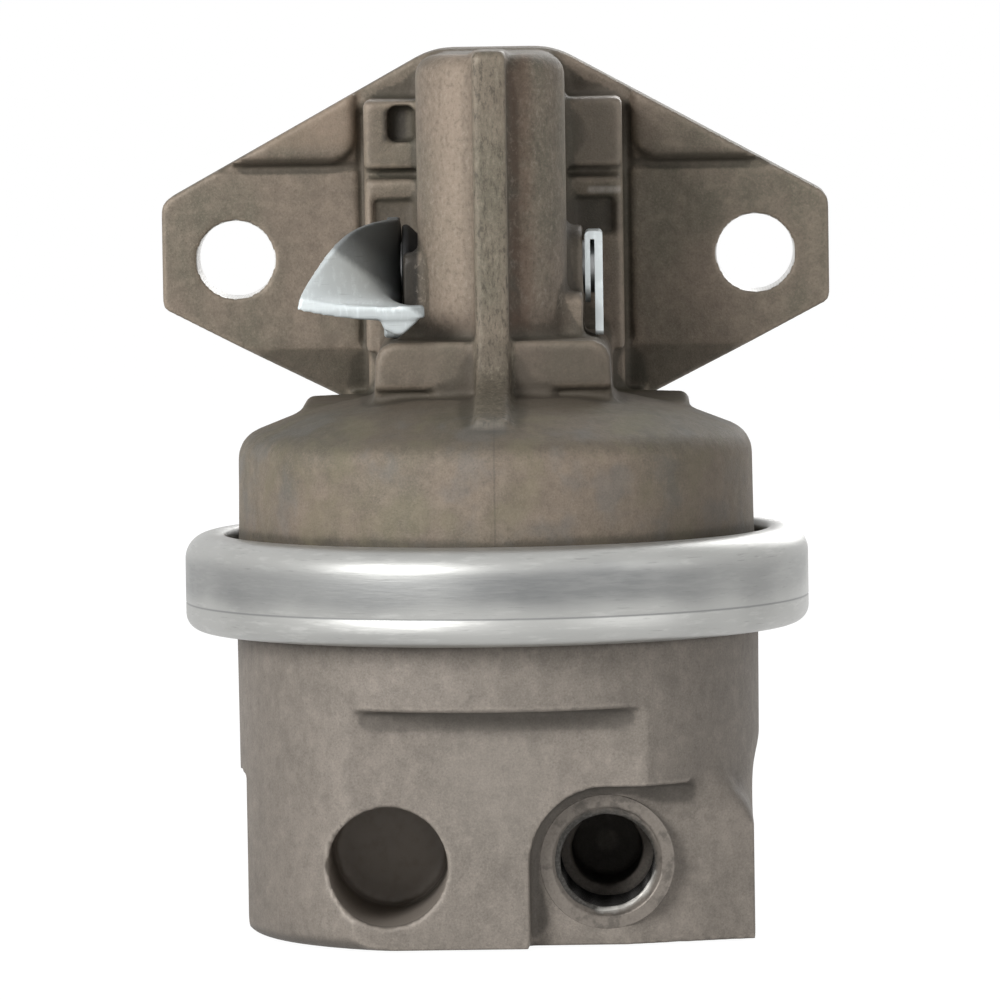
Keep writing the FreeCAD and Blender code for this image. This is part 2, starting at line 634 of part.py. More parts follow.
def primer_lever():
    """The pressed lever: an upright arm on the shaft that twists forward into a scooped thumb pad."""
    inner_face = -boss_half_width - lever_gap
    middle_x = inner_face - lever_thickness / 2
    top = shaft_height + lever_head_r
    join_y = 3.4
    sections = [sheet_section(-14.0, (-21.5, 71.3), (-15.0, 70.35), (-7.4, 70.4)),
                sheet_section(-11.0, (-20.2, 73.9), (-14.8, 70.9), (-8.3, 70.2)),
                sheet_section(-6.5, (-17.7, 77.2), (-13.8, 72.6), (-10.0, 69.6)),
                sheet_section(-2.0, (-14.4, top - 1.0), (-12.9, 73.9), (middle_x - 0.3, 69.0)),
                sheet_section(1.6, (middle_x - 0.4, top - 0.5), (middle_x - 0.4, 74.4), (middle_x, 69.0)),
                sheet_section(join_y + 0.3, (middle_x, top - 0.4), (middle_x - 0.01, 74.3), (middle_x, 69.2),
                              lever_thickness - 0.1)]
    scoop = Part.makeLoft(sections, True, False)
    corner_r = lever_head_r - 1.3
    head = prism([(join_y, 69.0, 0), (join_y, top - 0.2, 0), (shaft_y + lever_head_r, top - 1.6, corner_r),
                  (shaft_y + lever_head_r, 68.4, corner_r)], "YZ", inner_face - lever_thickness, inner_face)
    tab = prism([(-1.4, base_top + 0.1, 0.4), (2.6, base_top + 0.1, 0.4), (4.6, 69.8, 0), (-1.4, 69.8, 0)],
                "YZ", inner_face - lever_thickness - 0.4, inner_face + 0.1)
    # A rounded ear is turned down at the front right.
    ear = prism([(-12.7, 70.2, 0), (-12.0, 68.3, 0.9), (-10.2, 67.5, 1.0), (-8.3, 69.2, 0.8), (-7.7, 70.4, 0)],
                "XZ", -13.8, -13.8 + lever_thickness)
    shaft_side = block(inner_face, inner_face + 3, 1.0, shaft_y + 8, 67, top + 1)
    head_side = rod_x(shaft_end_r + 1.1, inner_face - 4, inner_face - lever_thickness, shaft_y, shaft_height)
    hole = rod_x(shaft_end_r + push_fit, inner_face - 4, inner_face + 4, shaft_y, shaft_height)
    return without(joined([scoop, head, tab, ear]), [shaft_side, head_side, hole])


def primer_end_plate():
    """The folded clip on the shaft's right end, whose outer leg stops on the base block."""
    outer_x = boss_half_width + lever_gap + 1.1
    outer_side = outer_x + end_plate_thickness
    inner_x = boss_half_width + lever_gap
    inner_side = inner_x + 0.6
    front, back = shaft_y - 4.0, shaft_y + 4.0
    top = shaft_height + shaft_r + 1.1
    outer_leg = prism([(shaft_y - 6.4, base_top + 0.1, 0.5), (shaft_y, base_top + 0.1, 0.5),
                       (back, shaft_height - 3.4, 2.0), (back, top, 0), (front, top, 0),
                       (front, shaft_height - 2.0, 2.0)], "YZ", outer_x, outer_side)
    inner_leg = prism([(front, shaft_height - 4.0, 2.0), (back, shaft_height - 4.0, 2.0), (back, top, 0),
                       (front, top, 0)], "YZ", inner_x, inner_side)
    bridge = block(inner_x, outer_side, front, back, top - end_plate_thickness, top)
    clip = rounded(joined([outer_leg, inner_leg, bridge]), 0.5,
                   lambda box, edge: box.ZMin > top - 0.01 and box.XMax - box.XMin < 0.01)
    holes = [rod_x(shaft_end_r + push_fit, outer_x - 0.2, outer_side + 1, shaft_y, shaft_height),
             rod_x(shaft_r + push_fit, inner_x - 1, inner_side + 0.2, shaft_y, shaft_height)]
    return without(clip, holes)


def primer_seal():
    """A square rubber ring in the mouth of the right boss, round the shaft."""
    low, high = boss_half_width - primer_seal_depth, boss_half_width - 0.1
    ring = rod_x(primer_seal_r - push_fit, low, high, shaft_y, shaft_height)
    return ring.cut(rod_x(shaft_r + running, low - 1, high + 1, shaft_y, shaft_height))


def primer_boot():
    """The rubber boot round the shaft between the tower's left side and the lever, wider at the lever."""
    tower_side = tower_r - 0.2 + push_fit
    length = boss_half_width + lever_gap - 0.15 - tower_side
    boot = turned([(shaft_r + running, 0, 0), (boot_neck_r, 0, 0), (boot_r, length - 0.7, 0.6),
                   (boot_r, length, 0.3), (shaft_r + running, length, 0)])
    boot.rotate(FreeCAD.Vector(), FreeCAD.Vector(0, 1, 0), -90)
    boot.translate(FreeCAD.Vector(-tower_side, shaft_y, shaft_height))
    return boot


def valve_seat(x):
    """The seat plate at the bottom of a valve pocket, with a raised rim round its hole."""
    base = turned([(valve_hole_r, valve_floor, 0), (valve_r, valve_floor, 0), (valve_r, valve_floor + 1.4, 0),
                   (valve_hole_r + 1.0, valve_floor + 1.4, 0), (valve_hole_r + 0.8, valve_floor + 2.0, 0),
                   (valve_hole_r, valve_floor + 2.0, 0)])
    base.translate(FreeCAD.Vector(x, -valve_y, 0))
    return base


def valve_cage(x):
    """The pressed cage over a valve: a thin cup with three windows and a guide for the spring."""
    low = valve_floor + 1.4
    high = valve_top
    cup = turned([(valve_disc_r + 0.9, low, 0), (valve_r, low, 0), (valve_r, high - 0.6, 0),
                  (valve_r - 0.6, high, 0), (1.4, high, 0), (1.4, high - valve_wall, 0),
                  (valve_disc_r + 0.9, high - valve_wall, 0)])
    windows = []
    for turn in range(3):
        window = block(1.9, valve_disc_r + 0.4, -1.3, 1.3, high - 2, high + 1)
        window.rotate(FreeCAD.Vector(), FreeCAD.Vector(0, 0, 1), 120 * turn)
        windows.append(window)
    cup = without(cup, windows)
    cup.translate(FreeCAD.Vector(x, -valve_y, 0))
    return cup


def valve_disc(x):
    low = valve_floor + 2.0
    disc = turned([(0, low, 0), (valve_disc_r, low, 0), (valve_disc_r, low + valve_disc_thickness, 0),
                   (0, low + valve_disc_thickness, 0)])
    disc.translate(FreeCAD.Vector(x, -valve_y, 0))
    return disc


def valve_spring(x):
    low = valve_floor + 2.0 + valve_disc_thickness
    high = valve_top - valve_wall
    return spring(valve_spring_r, valve_spring_wire, low, high, 2, x, -valve_y)


def pieces():
    """Every piece of the pump by the name of its node."""
    made = {
        "upper_body": upper_body(),
        "lower_body": lower_body(),
        "crimp_ring": crimp_ring(),
        "rocker_arm": rocker_arm(),
        "rocker_bush": rocker_bush(),
        "rocker_pin": rocker_pin(),
        "return_spring_seat": return_spring_seat(),
        "rocker_return_spring": rocker_return_spring(),
        "primer_shaft": primer_shaft(),
        "primer_lever": primer_lever(),
        "primer_end_plate": primer_end_plate(),
        "primer_boot": primer_boot(),
        "primer_seal": primer_seal(),
        "diaphragm_rod": diaphragm_rod(),
        "upper_plate": upper_plate(),
        "lower_plate": lower_plate(),
        "diaphragm": diaphragm(),
        "diaphragm_spring": diaphragm_spring(),
        "rod_seal": rod_seal(),
        "seal_retainer": seal_retainer(),
    }
    valve_pieces = {"seat": valve_seat, "cage": valve_cage, "disc": valve_disc, "spring": valve_spring}
    for piece, make in valve_pieces.items():
        made["inlet_valve_" + piece] = make(inlet_x)
        # The outlet valve is the same set of pieces upside down, so that it opens away from the chamber.
        turned_over = make(outlet_x)
        middle = FreeCAD.Vector(outlet_x, -valve_y, (valve_floor + valve_top) / 2)
        turned_over.rotate(middle, FreeCAD.Vector(1, 0, 0), 180)
        made["outlet_valve_" + piece] = turned_over
    return made


os.makedirs("parts", exist_ok=True)
for node, shape in pieces().items():
    shape.translate(FreeCAD.Vector(0, -mating_y, -bolt_height))
    shape.exportStep(os.path.join("parts", node + ".step"))
    print(node, "solids", len(shape.Solids), "valid", shape.isValid(), "volume", round(shape.Volume, 1))
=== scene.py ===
import math

import bmesh
import bpy
import numpy as np
from mathutils import Matrix, Quaternion, Vector


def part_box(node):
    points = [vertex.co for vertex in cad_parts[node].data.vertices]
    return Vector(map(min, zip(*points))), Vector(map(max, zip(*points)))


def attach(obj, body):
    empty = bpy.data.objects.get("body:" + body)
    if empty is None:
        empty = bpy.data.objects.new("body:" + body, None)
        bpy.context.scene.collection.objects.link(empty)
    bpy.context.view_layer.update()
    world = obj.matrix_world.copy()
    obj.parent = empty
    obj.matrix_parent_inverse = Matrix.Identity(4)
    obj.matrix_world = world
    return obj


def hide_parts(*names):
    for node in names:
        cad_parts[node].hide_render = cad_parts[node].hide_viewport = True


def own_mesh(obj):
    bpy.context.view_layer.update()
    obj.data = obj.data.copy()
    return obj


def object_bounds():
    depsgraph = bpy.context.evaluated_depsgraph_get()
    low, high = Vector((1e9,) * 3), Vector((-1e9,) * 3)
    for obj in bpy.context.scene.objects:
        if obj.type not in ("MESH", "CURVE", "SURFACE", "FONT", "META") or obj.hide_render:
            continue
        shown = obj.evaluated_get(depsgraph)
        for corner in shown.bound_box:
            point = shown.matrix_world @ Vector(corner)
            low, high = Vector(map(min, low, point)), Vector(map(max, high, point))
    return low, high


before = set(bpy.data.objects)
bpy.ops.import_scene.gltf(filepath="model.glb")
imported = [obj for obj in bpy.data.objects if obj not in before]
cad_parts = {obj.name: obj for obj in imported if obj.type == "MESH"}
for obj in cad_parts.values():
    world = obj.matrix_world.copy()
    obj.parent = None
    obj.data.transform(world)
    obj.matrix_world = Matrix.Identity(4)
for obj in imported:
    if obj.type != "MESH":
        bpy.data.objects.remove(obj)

bl_info = {
    "name": "Fuel transfer pump",
    "version": (1, 0, 0),
    "blender": (4, 5, 0),
    "location": "3D View > Sidebar > Fuel pump",
    "description": "Visual model of a mechanical diaphragm fuel pump on its packed frame",
    "category": "Object",
}

cad_low, cad_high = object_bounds()
MM = 0.001
# The pump's own sizes are in millimetres, and its places are from its foot and its axis, as in the drawing.
MATING_Y = 38.0
FLANGE_FRONT_Y = 28.2
BOLT_X = 30.0
BOLT_Z = 74.7
BOLT_HOLE_R = 4.7
TOWER_R = 9.4
RIB_FOOT_Z = 58.0
CHAMBER_R = 27.0
PORT_Z = 9.3
INLET_X = -12.3
INLET_R = 6.8
OUTLET_X = 12.0
OUTLET_FACE_Y = -20.7
THREAD_WALL_R = 6.3
VALVE_Y = -6.0
VALVE_POCKET_R = 7.6


def at(x, y, z):
    """A point of the drawing, in millimetres from the foot and the pump axis, in the frame's metres."""
    return Vector((x, y - MATING_Y, z - BOLT_Z)) * MM


class PumpShapes(bpy.types.PropertyGroup):
    """Sizes of the detail that the visual model adds, in millimetres."""

    casting_step: bpy.props.FloatProperty(
        name="Casting step", description="Grain of the castings' rounded skin",
        default=0.45, min=0.2, max=1.0)
    casting_rounds: bpy.props.IntProperty(
        name="Casting rounds", description="How often the castings' edges are eased",
        default=2, min=0, max=20)
    sheet_step: bpy.props.FloatProperty(
        name="Sheet step", description="Grain of the pressed and forged pieces' skin",
        default=0.22, min=0.1, max=0.5)
    thread_pitch: bpy.props.FloatProperty(
        name="Thread pitch", description="Pitch of the outlet port's thread",
        default=1.5, min=0.5, max=3.0)
    thread_depth: bpy.props.FloatProperty(
        name="Thread depth", description="Depth of the thread from crest to root",
        default=0.82, min=0.2, max=1.5)


class PumpFinishes(bpy.types.PropertyGroup):
    """Colours of the pump's finishes, linear."""

    cast_upper: bpy.props.FloatVectorProperty(
        name="Upper casting", description="Dull cast skin of the upper body", subtype="COLOR", size=4,
        default=(0.176, 0.142, 0.110, 1.0), min=0.0, max=1.0)
    # This colour, darkened, also paints shade on top, underneath and in hollows of the upper casting.
    upper_stain_and_shade: bpy.props.FloatVectorProperty(
        name="Upper stain", description="Oil-stained patches of the upper body", subtype="COLOR", size=4,
        default=(0.112, 0.104, 0.076, 1.0), min=0.0, max=1.0)
    cast_lower: bpy.props.FloatVectorProperty(
        name="Lower casting", description="Dull cast skin of the lower body", subtype="COLOR", size=4,
        default=(0.196, 0.172, 0.148, 1.0), min=0.0, max=1.0)
    # This colour, darkened, also paints shade on top, underneath and in hollows of the lower casting.
    lower_stain_and_shade: bpy.props.FloatVectorProperty(
        name="Lower stain", description="Darker patches of the lower body", subtype="COLOR", size=4,
        default=(0.165, 0.146, 0.125, 1.0), min=0.0, max=1.0)
    zinc: bpy.props.FloatVectorProperty(
        name="Zinc", description="Bright zinc of the rolled ring", subtype="COLOR", size=4,
        default=(0.43, 0.43, 0.415, 1.0), min=0.0, max=1.0)
    blue_zinc: bpy.props.FloatVectorProperty(
        name="Blue zinc", description="Blue-white zinc of the primer lever", subtype="COLOR", size=4,
        default=(0.64, 0.685, 0.69, 1.0), min=0.0, max=1.0)


class PumpStage(bpy.types.PropertyGroup):
    """The camera and the lamps."""

    distance: bpy.props.FloatProperty(
        name="Distance", description="Camera to pump axis", default=1.1, min=0.2, unit="LENGTH")
    lens: bpy.props.FloatProperty(
        name="Lens", description="Focal length in millimetres", default=351.2, min=10.0)
    azimuth: bpy.props.FloatProperty(
        name="Azimuth", description="Turn of the camera round the pump",
        default=math.radians(0.7), subtype="ANGLE")
    elevation: bpy.props.FloatProperty(
        name="Elevation", description="Height of the camera",
        default=math.radians(3.7), subtype="ANGLE")
    roll: bpy.props.FloatProperty(
        name="Roll", description="Lean of the picture",
        default=math.radians(-0.85), subtype="ANGLE")
    key: bpy.props.FloatProperty(
        name="Key lamp", description="Power of the soft lamp at the upper left",
        default=9.6, min=0.0, unit="POWER")
    fill: bpy.props.FloatProperty(
        name="Fill lamp", description="Power of the lamp at the right",
        default=0.9, min=0.0, unit="POWER")
    world: bpy.props.FloatProperty(
        name="World", description="Strength of the even light all round", default=0.36, min=0.0)


# Materials


class Shade:
    """A socket of a material, so that a mask is written as a plain expression."""

    def __init__(self, finish, socket):
        self.finish = finish
        self.socket = socket

    def maths(self, operation, first, second):
        """A maths node on two shades or numbers."""
        return self.finish.node("ShaderNodeMath", {"operation": operation}, {0: first, 1: second})

    def __add__(self, other):
        return self.maths("ADD", self, other)

    def __radd__(self, other):
        return self.maths("ADD", other, self)

    def __sub__(self, other):
        return self.maths("SUBTRACT", self, other)

    def __rsub__(self, other):
        return self.maths("SUBTRACT", other, self)

    def __mul__(self, other):
        return self.maths("MULTIPLY", self, other)

    def __pow__(self, other):
        return self.maths("POWER", self, other)


class Finish:
    """A material in the making: its nodes, its shader and the masks that the finishes share."""

    def __init__(self, name, metallic=0.0, roughness=0.5, **constants):
        self.material = bpy.data.materials.new(name)
        self.material.use_nodes = True
        self.tree = self.material.node_tree
        self.shader = self.tree.nodes["Principled BSDF"]
        self.shader.inputs["Metallic"].default_value = metallic
        self.shader.inputs["Roughness"].default_value = roughness
        for socket, value in constants.items():
            self.shader.inputs[socket.replace("_", " ")].default_value = value
        self.place = self.node("ShaderNodeTexCoord", {}, {}, "Object")
        self.x, self.y, self.z = self.parts(self.place)

    def node(self, kind, settings, values, output=0):
        """One of the outputs of a new node, with its settings made and its inputs linked or filled in."""
        made = self.tree.nodes.new(kind)
        for key, value in settings.items():
            setattr(made, key, value)
        for key, value in values.items():
            if isinstance(value, Shade):
                self.tree.links.new(value.socket, made.inputs[key])
            else:
                made.inputs[key].default_value = value
        return Shade(self, made.outputs[output])

    def parts(self, vector):
        """The x, y and z of a vector."""
        split = self.node("ShaderNodeSeparateXYZ", {}, {0: vector})
        return [Shade(self, socket) for socket in split.socket.node.outputs]

    def noise(self, grain_mm, detail=4.0, roughness=0.55, stretch=None):
        """Cloudy noise whose blotches are about grain_mm across."""
        where = self.place
        if stretch is not None:
            where = self.node("ShaderNodeVectorMath", {"operation": "MULTIPLY"}, {0: where, 1: stretch})
        return self.node("ShaderNodeTexNoise", {}, {"Vector": where, "Scale": 1.0 / (grain_mm * MM),
                                                    "Detail": detail, "Roughness": roughness})

    def cells(self, grain_mm):
        """Pits about grain_mm apart."""
        return self.node("ShaderNodeTexVoronoi", {}, {"Vector": self.place, "Scale": 1.0 / (grain_mm * MM)})

    def step(self, value, low, high):
        """0 below low, 1 above high. With low above high it falls from 1 to 0."""
        return self.node("ShaderNodeMapRange", {"interpolation_type": "SMOOTHSTEP"},
                         {"Value": value, "From Min": low, "From Max": high})

    def along(self, axis, low, high):
        """A step along x, y or z between two places of the drawing."""
        return self.step(getattr(self, axis), drawing(axis, low), drawing(axis, high))

    def between(self, value, low, high, edge):
        """1 from low to high, fading over edge to either side of both ends."""
        return self.step(value, low - edge, low + edge) * (1.0 - self.step(value, high - edge, high + edge))

    def band(self, axis, low, high, edge):
        """The stretch along x, y or z between two places of the drawing, with soft edges."""
        return self.between(getattr(self, axis), drawing(axis, low), drawing(axis, high), edge * MM)

    def mix(self, factor, first, second):
        """One colour over another."""
        return self.node("ShaderNodeMix", {"data_type": "RGBA"},
                         {0: factor, 6: first, 7: second}, output=2)

    def mark(self, name):
        """What mark_edges wrote on the mesh: edge wear, or grime with painted shade in corners, from 0 to 1.
        """
        return self.node("ShaderNodeAttribute", {"attribute_name": name}, {}, output=2)

    def upward(self):
        """1 where the surface faces up, -1 where it faces down."""
        return self.parts(self.node("ShaderNodeNewGeometry", {}, {}, "Normal"))[2]

    def away(self, x, z):
        """Metres from an axis along Y through a place of the drawing."""
        return ((self.x - drawing("x", x)) ** 2.0 + (self.z - drawing("z", z)) ** 2.0) ** 0.5

    def feed(self, socket, value):
        """Links a shade to one of the shader's sockets."""
        self.tree.links.new(value.socket, self.shader.inputs[socket])

    def bump(self, height, distance_mm, strength):
        """A normal that shows relief of the given height."""
        return self.node("ShaderNodeBump", {},
                         {"Height": height, "Distance": distance_mm * MM, "Strength": strength})


def tone(colour, factor):
    """A colour made lighter or darker by a factor."""
    return (colour[0] * factor, colour[1] * factor, colour[2] * factor, 1.0)


def drawing(axis, millimetres):
    """A drawing coordinate in the frame's metres."""
    offset = {"x": 0.0, "y": MATING_Y, "z": BOLT_Z}[axis]
    return (millimetres - offset) * MM


def cast_skin(name, base, stain, work):
    """Fine-grained cast aluminium: stained, rubbed on its edges, painted shade on top and below, grime and
    shade in corners.

    The layers of work(skin) come over that in their order: a mask and a colour for a mark of use, painted
    shade or painted light, and also a roughness and the tool's lines for a machined place.
    """
    skin = Finish(name, metallic=0.12, roughness=0.62, Specular_IOR_Level=0.3)
    patch = skin.noise(15.0, 3.0, 0.55)
    streak = skin.noise(2.6, 4.0, 0.6, stretch=(1.0, 1.0, 0.45))
    mottle = skin.noise(1.7, 4.0, 0.65)
    pores = skin.noise(0.9, 5.0, 0.7)
    grain = skin.noise(0.22, 3.0, 0.65)
    # Painted shade on surfaces that face up and on those that face down.
    top = skin.step(skin.upward() + (pores - 0.5) * 0.5, 0.20, 0.80)
    under = 1.0 - skin.step(skin.upward() + (pores - 0.5) * 0.3, -0.70, -0.25)
    # Painted shade and grime together in hollows, from the corner mark of mark_edges.
    grime_and_shade = skin.step(skin.mark("grimy_shaded") + (pores - 0.5) * 0.5, 0.12, 1.05)
    rubbed = skin.step(skin.mark("worn") + (pores - 0.5) * 1.2, 0.40, 1.15)
    layers = [
        (skin.step(patch, 0.38, 0.64) * 0.75, stain),
        (skin.step(streak, 0.36, 0.70) * 0.34, tone(base, 1.35)),
        (skin.step(pores, 0.52, 0.78) * 0.30, tone(base, 0.50)),
        (skin.step(grain, 0.48, 0.74) * 0.30, tone(base, 1.70)),
        (skin.step(grain, 0.50, 0.30) * 0.34, tone(base, 0.45)),
        (skin.step(mottle, 0.50, 0.68) * 0.26, tone(base, 0.50)),
        (skin.step(mottle, 0.48, 0.32) * 0.24, tone(base, 1.65)),
        # Painted shade on top and underneath.
        (top * 0.50, tone(stain, 0.45)),
        (under * 0.60, tone(stain, 0.40)),
        # Painted shade with grime in hollows.
        (grime_and_shade * 0.60, tone(stain, 0.30)),
        (rubbed * 0.32, tone(base, 2.0)),
    ]
    colour = base
    rough = 0.64 - rubbed * 0.2 + (pores - 0.5) * 0.25
    normal = skin.bump(grain * 0.5 + pores * 0.7, 0.10, 0.9)
    for mask, over, *machined in layers + work(skin):
        colour = skin.mix(mask, colour, over)
        if machined:
            smoothness, lines = machined
            rough = rough * (1.0 - mask) + mask * smoothness
            flat = skin.bump(lines, 0.02, 0.8)
            normal = skin.node("ShaderNodeMix", {"data_type": "VECTOR"}, {0: mask, 4: normal, 5: flat}, 1)
    skin.feed("Base Color", colour)
    skin.feed("Roughness", rough)
    skin.feed("Normal", normal)
    return skin.material


# Stains, rub marks, painted shade and painted highlights on the front of the upper casting. Each has its
# left, right, low and high in the drawing, how soft its edges are, its strength and its colour.
STAINS_AND_PAINTED_LIGHT = [
    # Painted shade in the core mark of the left upper box.
    (-12.6, -10.0, 88.4, 92.1, 0.30, 0.80, (0.050, 0.045, 0.038, 1.0)),
    # Painted shade in the hollow of the right lower box.
    (8.3, 14.5, 77.8, 81.6, 0.60, 0.55, (0.050, 0.045, 0.038, 1.0)),
    # Painted highlight on the top edge of the right lower box.
    (10.8, 14.6, 82.2, 82.9, 0.25, 0.50, (0.460, 0.430, 0.390, 1.0)),
    (9.5, 15.0, 84.0, 94.0, 1.00, 0.35, (0.240, 0.205, 0.170, 1.0)),
    (-36.0, -15.5, 87.5, 99.0, 0.80, 0.35, (0.300, 0.222, 0.160, 1.0)),
    # Painted shade under the lower edges of both plateaus.
    (-36.0, -15.2, 85.1, 86.7, 0.60, 0.42, (0.055, 0.040, 0.029, 1.0)),
    (15.2, 36.0, 85.1, 86.7, 0.60, 0.42, (0.055, 0.042, 0.032, 1.0)),
    # Painted shade on the boss at the tower's right side.
    (8.0, 10.2, 71.0, 80.0, 0.30, 0.50, (0.070, 0.058, 0.047, 1.0)),
    (-13.5, -5.0, 63.5, 66.9, 0.90, 0.12, (0.290, 0.225, 0.175, 1.0)),
]


def upper_machining(skin):
    """The milled mating face, the drilled bolt holes and the mould's seam below the rib."""
    lines = skin.node("ShaderNodeTexWave", {"bands_direction": "X", "wave_profile": "SAW"},
                      {"Vector": skin.place, "Scale": 1000.0, "Distortion": 1.2, "Detail": 2.0})
    milled = skin.mix(lines, (0.36, 0.34, 0.31, 1.0), (0.44, 0.42, 0.39, 1.0))
    drilled = skin.mix(lines, (0.62, 0.61, 0.59, 1.0), (0.80, 0.79, 0.77, 1.0))
    dark = skin.mix(lines, (0.030, 0.027, 0.022, 1.0), (0.040, 0.036, 0.030, 1.0))
    layers = [(skin.along("y", MATING_Y - 0.5, MATING_Y - 0.1), milled, 0.38, lines)]
    plate = skin.along("y", FLANGE_FRONT_Y - 0.1, FLANGE_FRONT_Y + 0.1)
    for x in (-BOLT_X, BOLT_X):
        hole = skin.step(skin.away(x, BOLT_Z), (BOLT_HOLE_R + 0.05) * MM, (BOLT_HOLE_R - 0.05) * MM)
        layers.append((hole * plate, drilled, 0.30, lines))
    seam = skin.band("x", 0.10, 0.32, 0.08) * skin.along("y", -22.0, -23.0)
    layers.append((seam * 0.28, dark, 0.6, lines))
    return layers


def painted_shade_marks(skin):
    """Painted shade: near black beside the boot, and brown over the base block, deeper towards its right."""
    beside = skin.along("x", -8.0, -8.6) * skin.band("z", 69.5, 79.0, 1.2) * skin.along("y", 15.5, 13.5)
    block = skin.band("z", 59.5, 66.5, 1.2) * skin.along("y", 20.0, 12.0)
    # Painted shadow, near black, in the gap beside the boot, and painted shade over the base block.
    return [(beside * 0.90, (0.012, 0.011, 0.009, 1.0)),
            (block * (skin.along("x", -1.0, 4.0) * 0.25 + 0.42), (0.060, 0.048, 0.036, 1.0))]


def tower_marks(skin, speck, cloud, inner):
    """The tower's front: a painted highlight where the light falls, speckled, painted shade at its foot and a
    little rusty.
    """
    tower = inner * skin.along("z", 67.0, 69.0) * skin.along("y", 3.0, -6.5)
    rust = skin.band("x", 2.0, 4.6, 0.8) * skin.step(cloud, 0.35, 0.55)
    # A painted highlight on the left of the tower's front.
    return [(tower * skin.band("x", -6.2, -1.2, 2.2) * 0.62, (0.285, 0.226, 0.174, 1.0)),
            (tower * skin.step(speck, 0.52, 0.66) * 0.30, (0.34, 0.29, 0.24, 1.0)),
            (tower * skin.step(speck, 0.48, 0.36) * 0.32, (0.060, 0.048, 0.038, 1.0)),
            # Painted shade across the tower's foot, where the lever's shadow falls.
            (tower * skin.along("z", 72.0, 67.5) * 0.50, (0.070, 0.050, 0.036, 1.0)),
            (tower * rust * 0.36, (0.125, 0.066, 0.042, 1.0))]


def stains_and_painted_light(skin, speck):
    """The stains, painted shade and painted highlights of the list above, a little speckled."""
    front = skin.along("y", 31.5, 30.5) * (skin.step(speck, 0.30, 0.60) * 0.4 + 0.6)
    return [(skin.band("x", left, right, soft) * skin.band("z", low, high, soft) * front * strength, colour)
            for left, right, low, high, soft, strength, colour in STAINS_AND_PAINTED_LIGHT]


def rib_marks(skin, inner):
    """The rib's front edge, darker than the tower and scored."""
    scored = skin.noise(0.45, 4.0, 0.75, stretch=(1.0, 1.0, 0.35))
    rib = skin.band("x", -2.1, 2.5, 0.2) * (1.0 - inner) * skin.along("y", -7.0, -8.0) \
        * skin.along("z", RIB_FOOT_Z - 0.4, RIB_FOOT_Z + 0.4)
    return [(rib * 0.35, (0.100, 0.088, 0.062, 1.0)),
            (rib * skin.step(scored, 0.50, 0.64) * 0.60, (0.040, 0.035, 0.026, 1.0)),
            (rib * skin.step(scored, 0.46, 0.34) * 0.35, (0.240, 0.215, 0.165, 1.0))]


def dome_marks(skin, cloud):
    """Grey and olive clouds on the dome, which is a little darker all over, with painted shade towards the
    right.
    """
    dome = skin.along("z", RIB_FOOT_Z + 2.0, RIB_FOOT_Z)
    return [(dome * skin.step(cloud, 0.50, 0.66) * 0.30, (0.125, 0.130, 0.132, 1.0)),
            (dome * skin.step(cloud, 0.50, 0.34) * 0.32, (0.160, 0.145, 0.088, 1.0)),
            # Painted shade growing towards the right, over a slight darkening of the whole dome.
            (dome * (skin.along("x", 12.0, 24.0) * 0.30 + 0.06), (0.070, 0.058, 0.042, 1.0))]


def upper_work(skin):
    """The machined places of the upper casting, the marks that use has left on it, and painted shade and
    highlights.
    """
    cloud = skin.noise(6.0, 3.0, 0.55)
    speck = skin.noise(0.42, 4.0, 0.7, stretch=(0.8, 0.8, 0.6))
    reach = (skin.x ** 2.0 + (skin.y - drawing("y", 0.0)) ** 2.0) ** 0.5
    inner = skin.step(reach, (TOWER_R + 0.2) * MM, (TOWER_R - 0.2) * MM)
    return (upper_machining(skin) + painted_shade_marks(skin) + tower_marks(skin, speck, cloud, inner)
            + stains_and_painted_light(skin, speck) + rib_marks(skin, inner) + dome_marks(skin, cloud))


def lower_work(skin):
    """The lower casting's darker sides, its pale middle and the bored inlet port with its turned rings."""
    sides = 1.0 - skin.band("x", -20.0, 22.0, 5.0)
    middle = skin.band("x", -6.0, 5.0, 4.0) * skin.band("z", 12.0, 25.0, 4.0)
    rings = skin.node("ShaderNodeTexWave", {"bands_direction": "Y"},
                      {"Vector": skin.place, "Scale": 900.0, "Distortion": 2.0, "Detail": 2.0})
    bore = skin.step(skin.away(INLET_X, PORT_Z), (INLET_R + 0.1) * MM, (INLET_R - 0.1) * MM) \
        * skin.band("y", -23.3, -1.8, 0.7)
    turned = skin.mix(rings, (0.240, 0.208, 0.178, 1.0), (0.320, 0.282, 0.245, 1.0))
    return [(sides * 0.14, (0.060, 0.050, 0.042, 1.0)),
            (middle * 0.20, (0.300, 0.270, 0.235, 1.0)),
            (bore * 0.85, turned, 0.45, rings)]


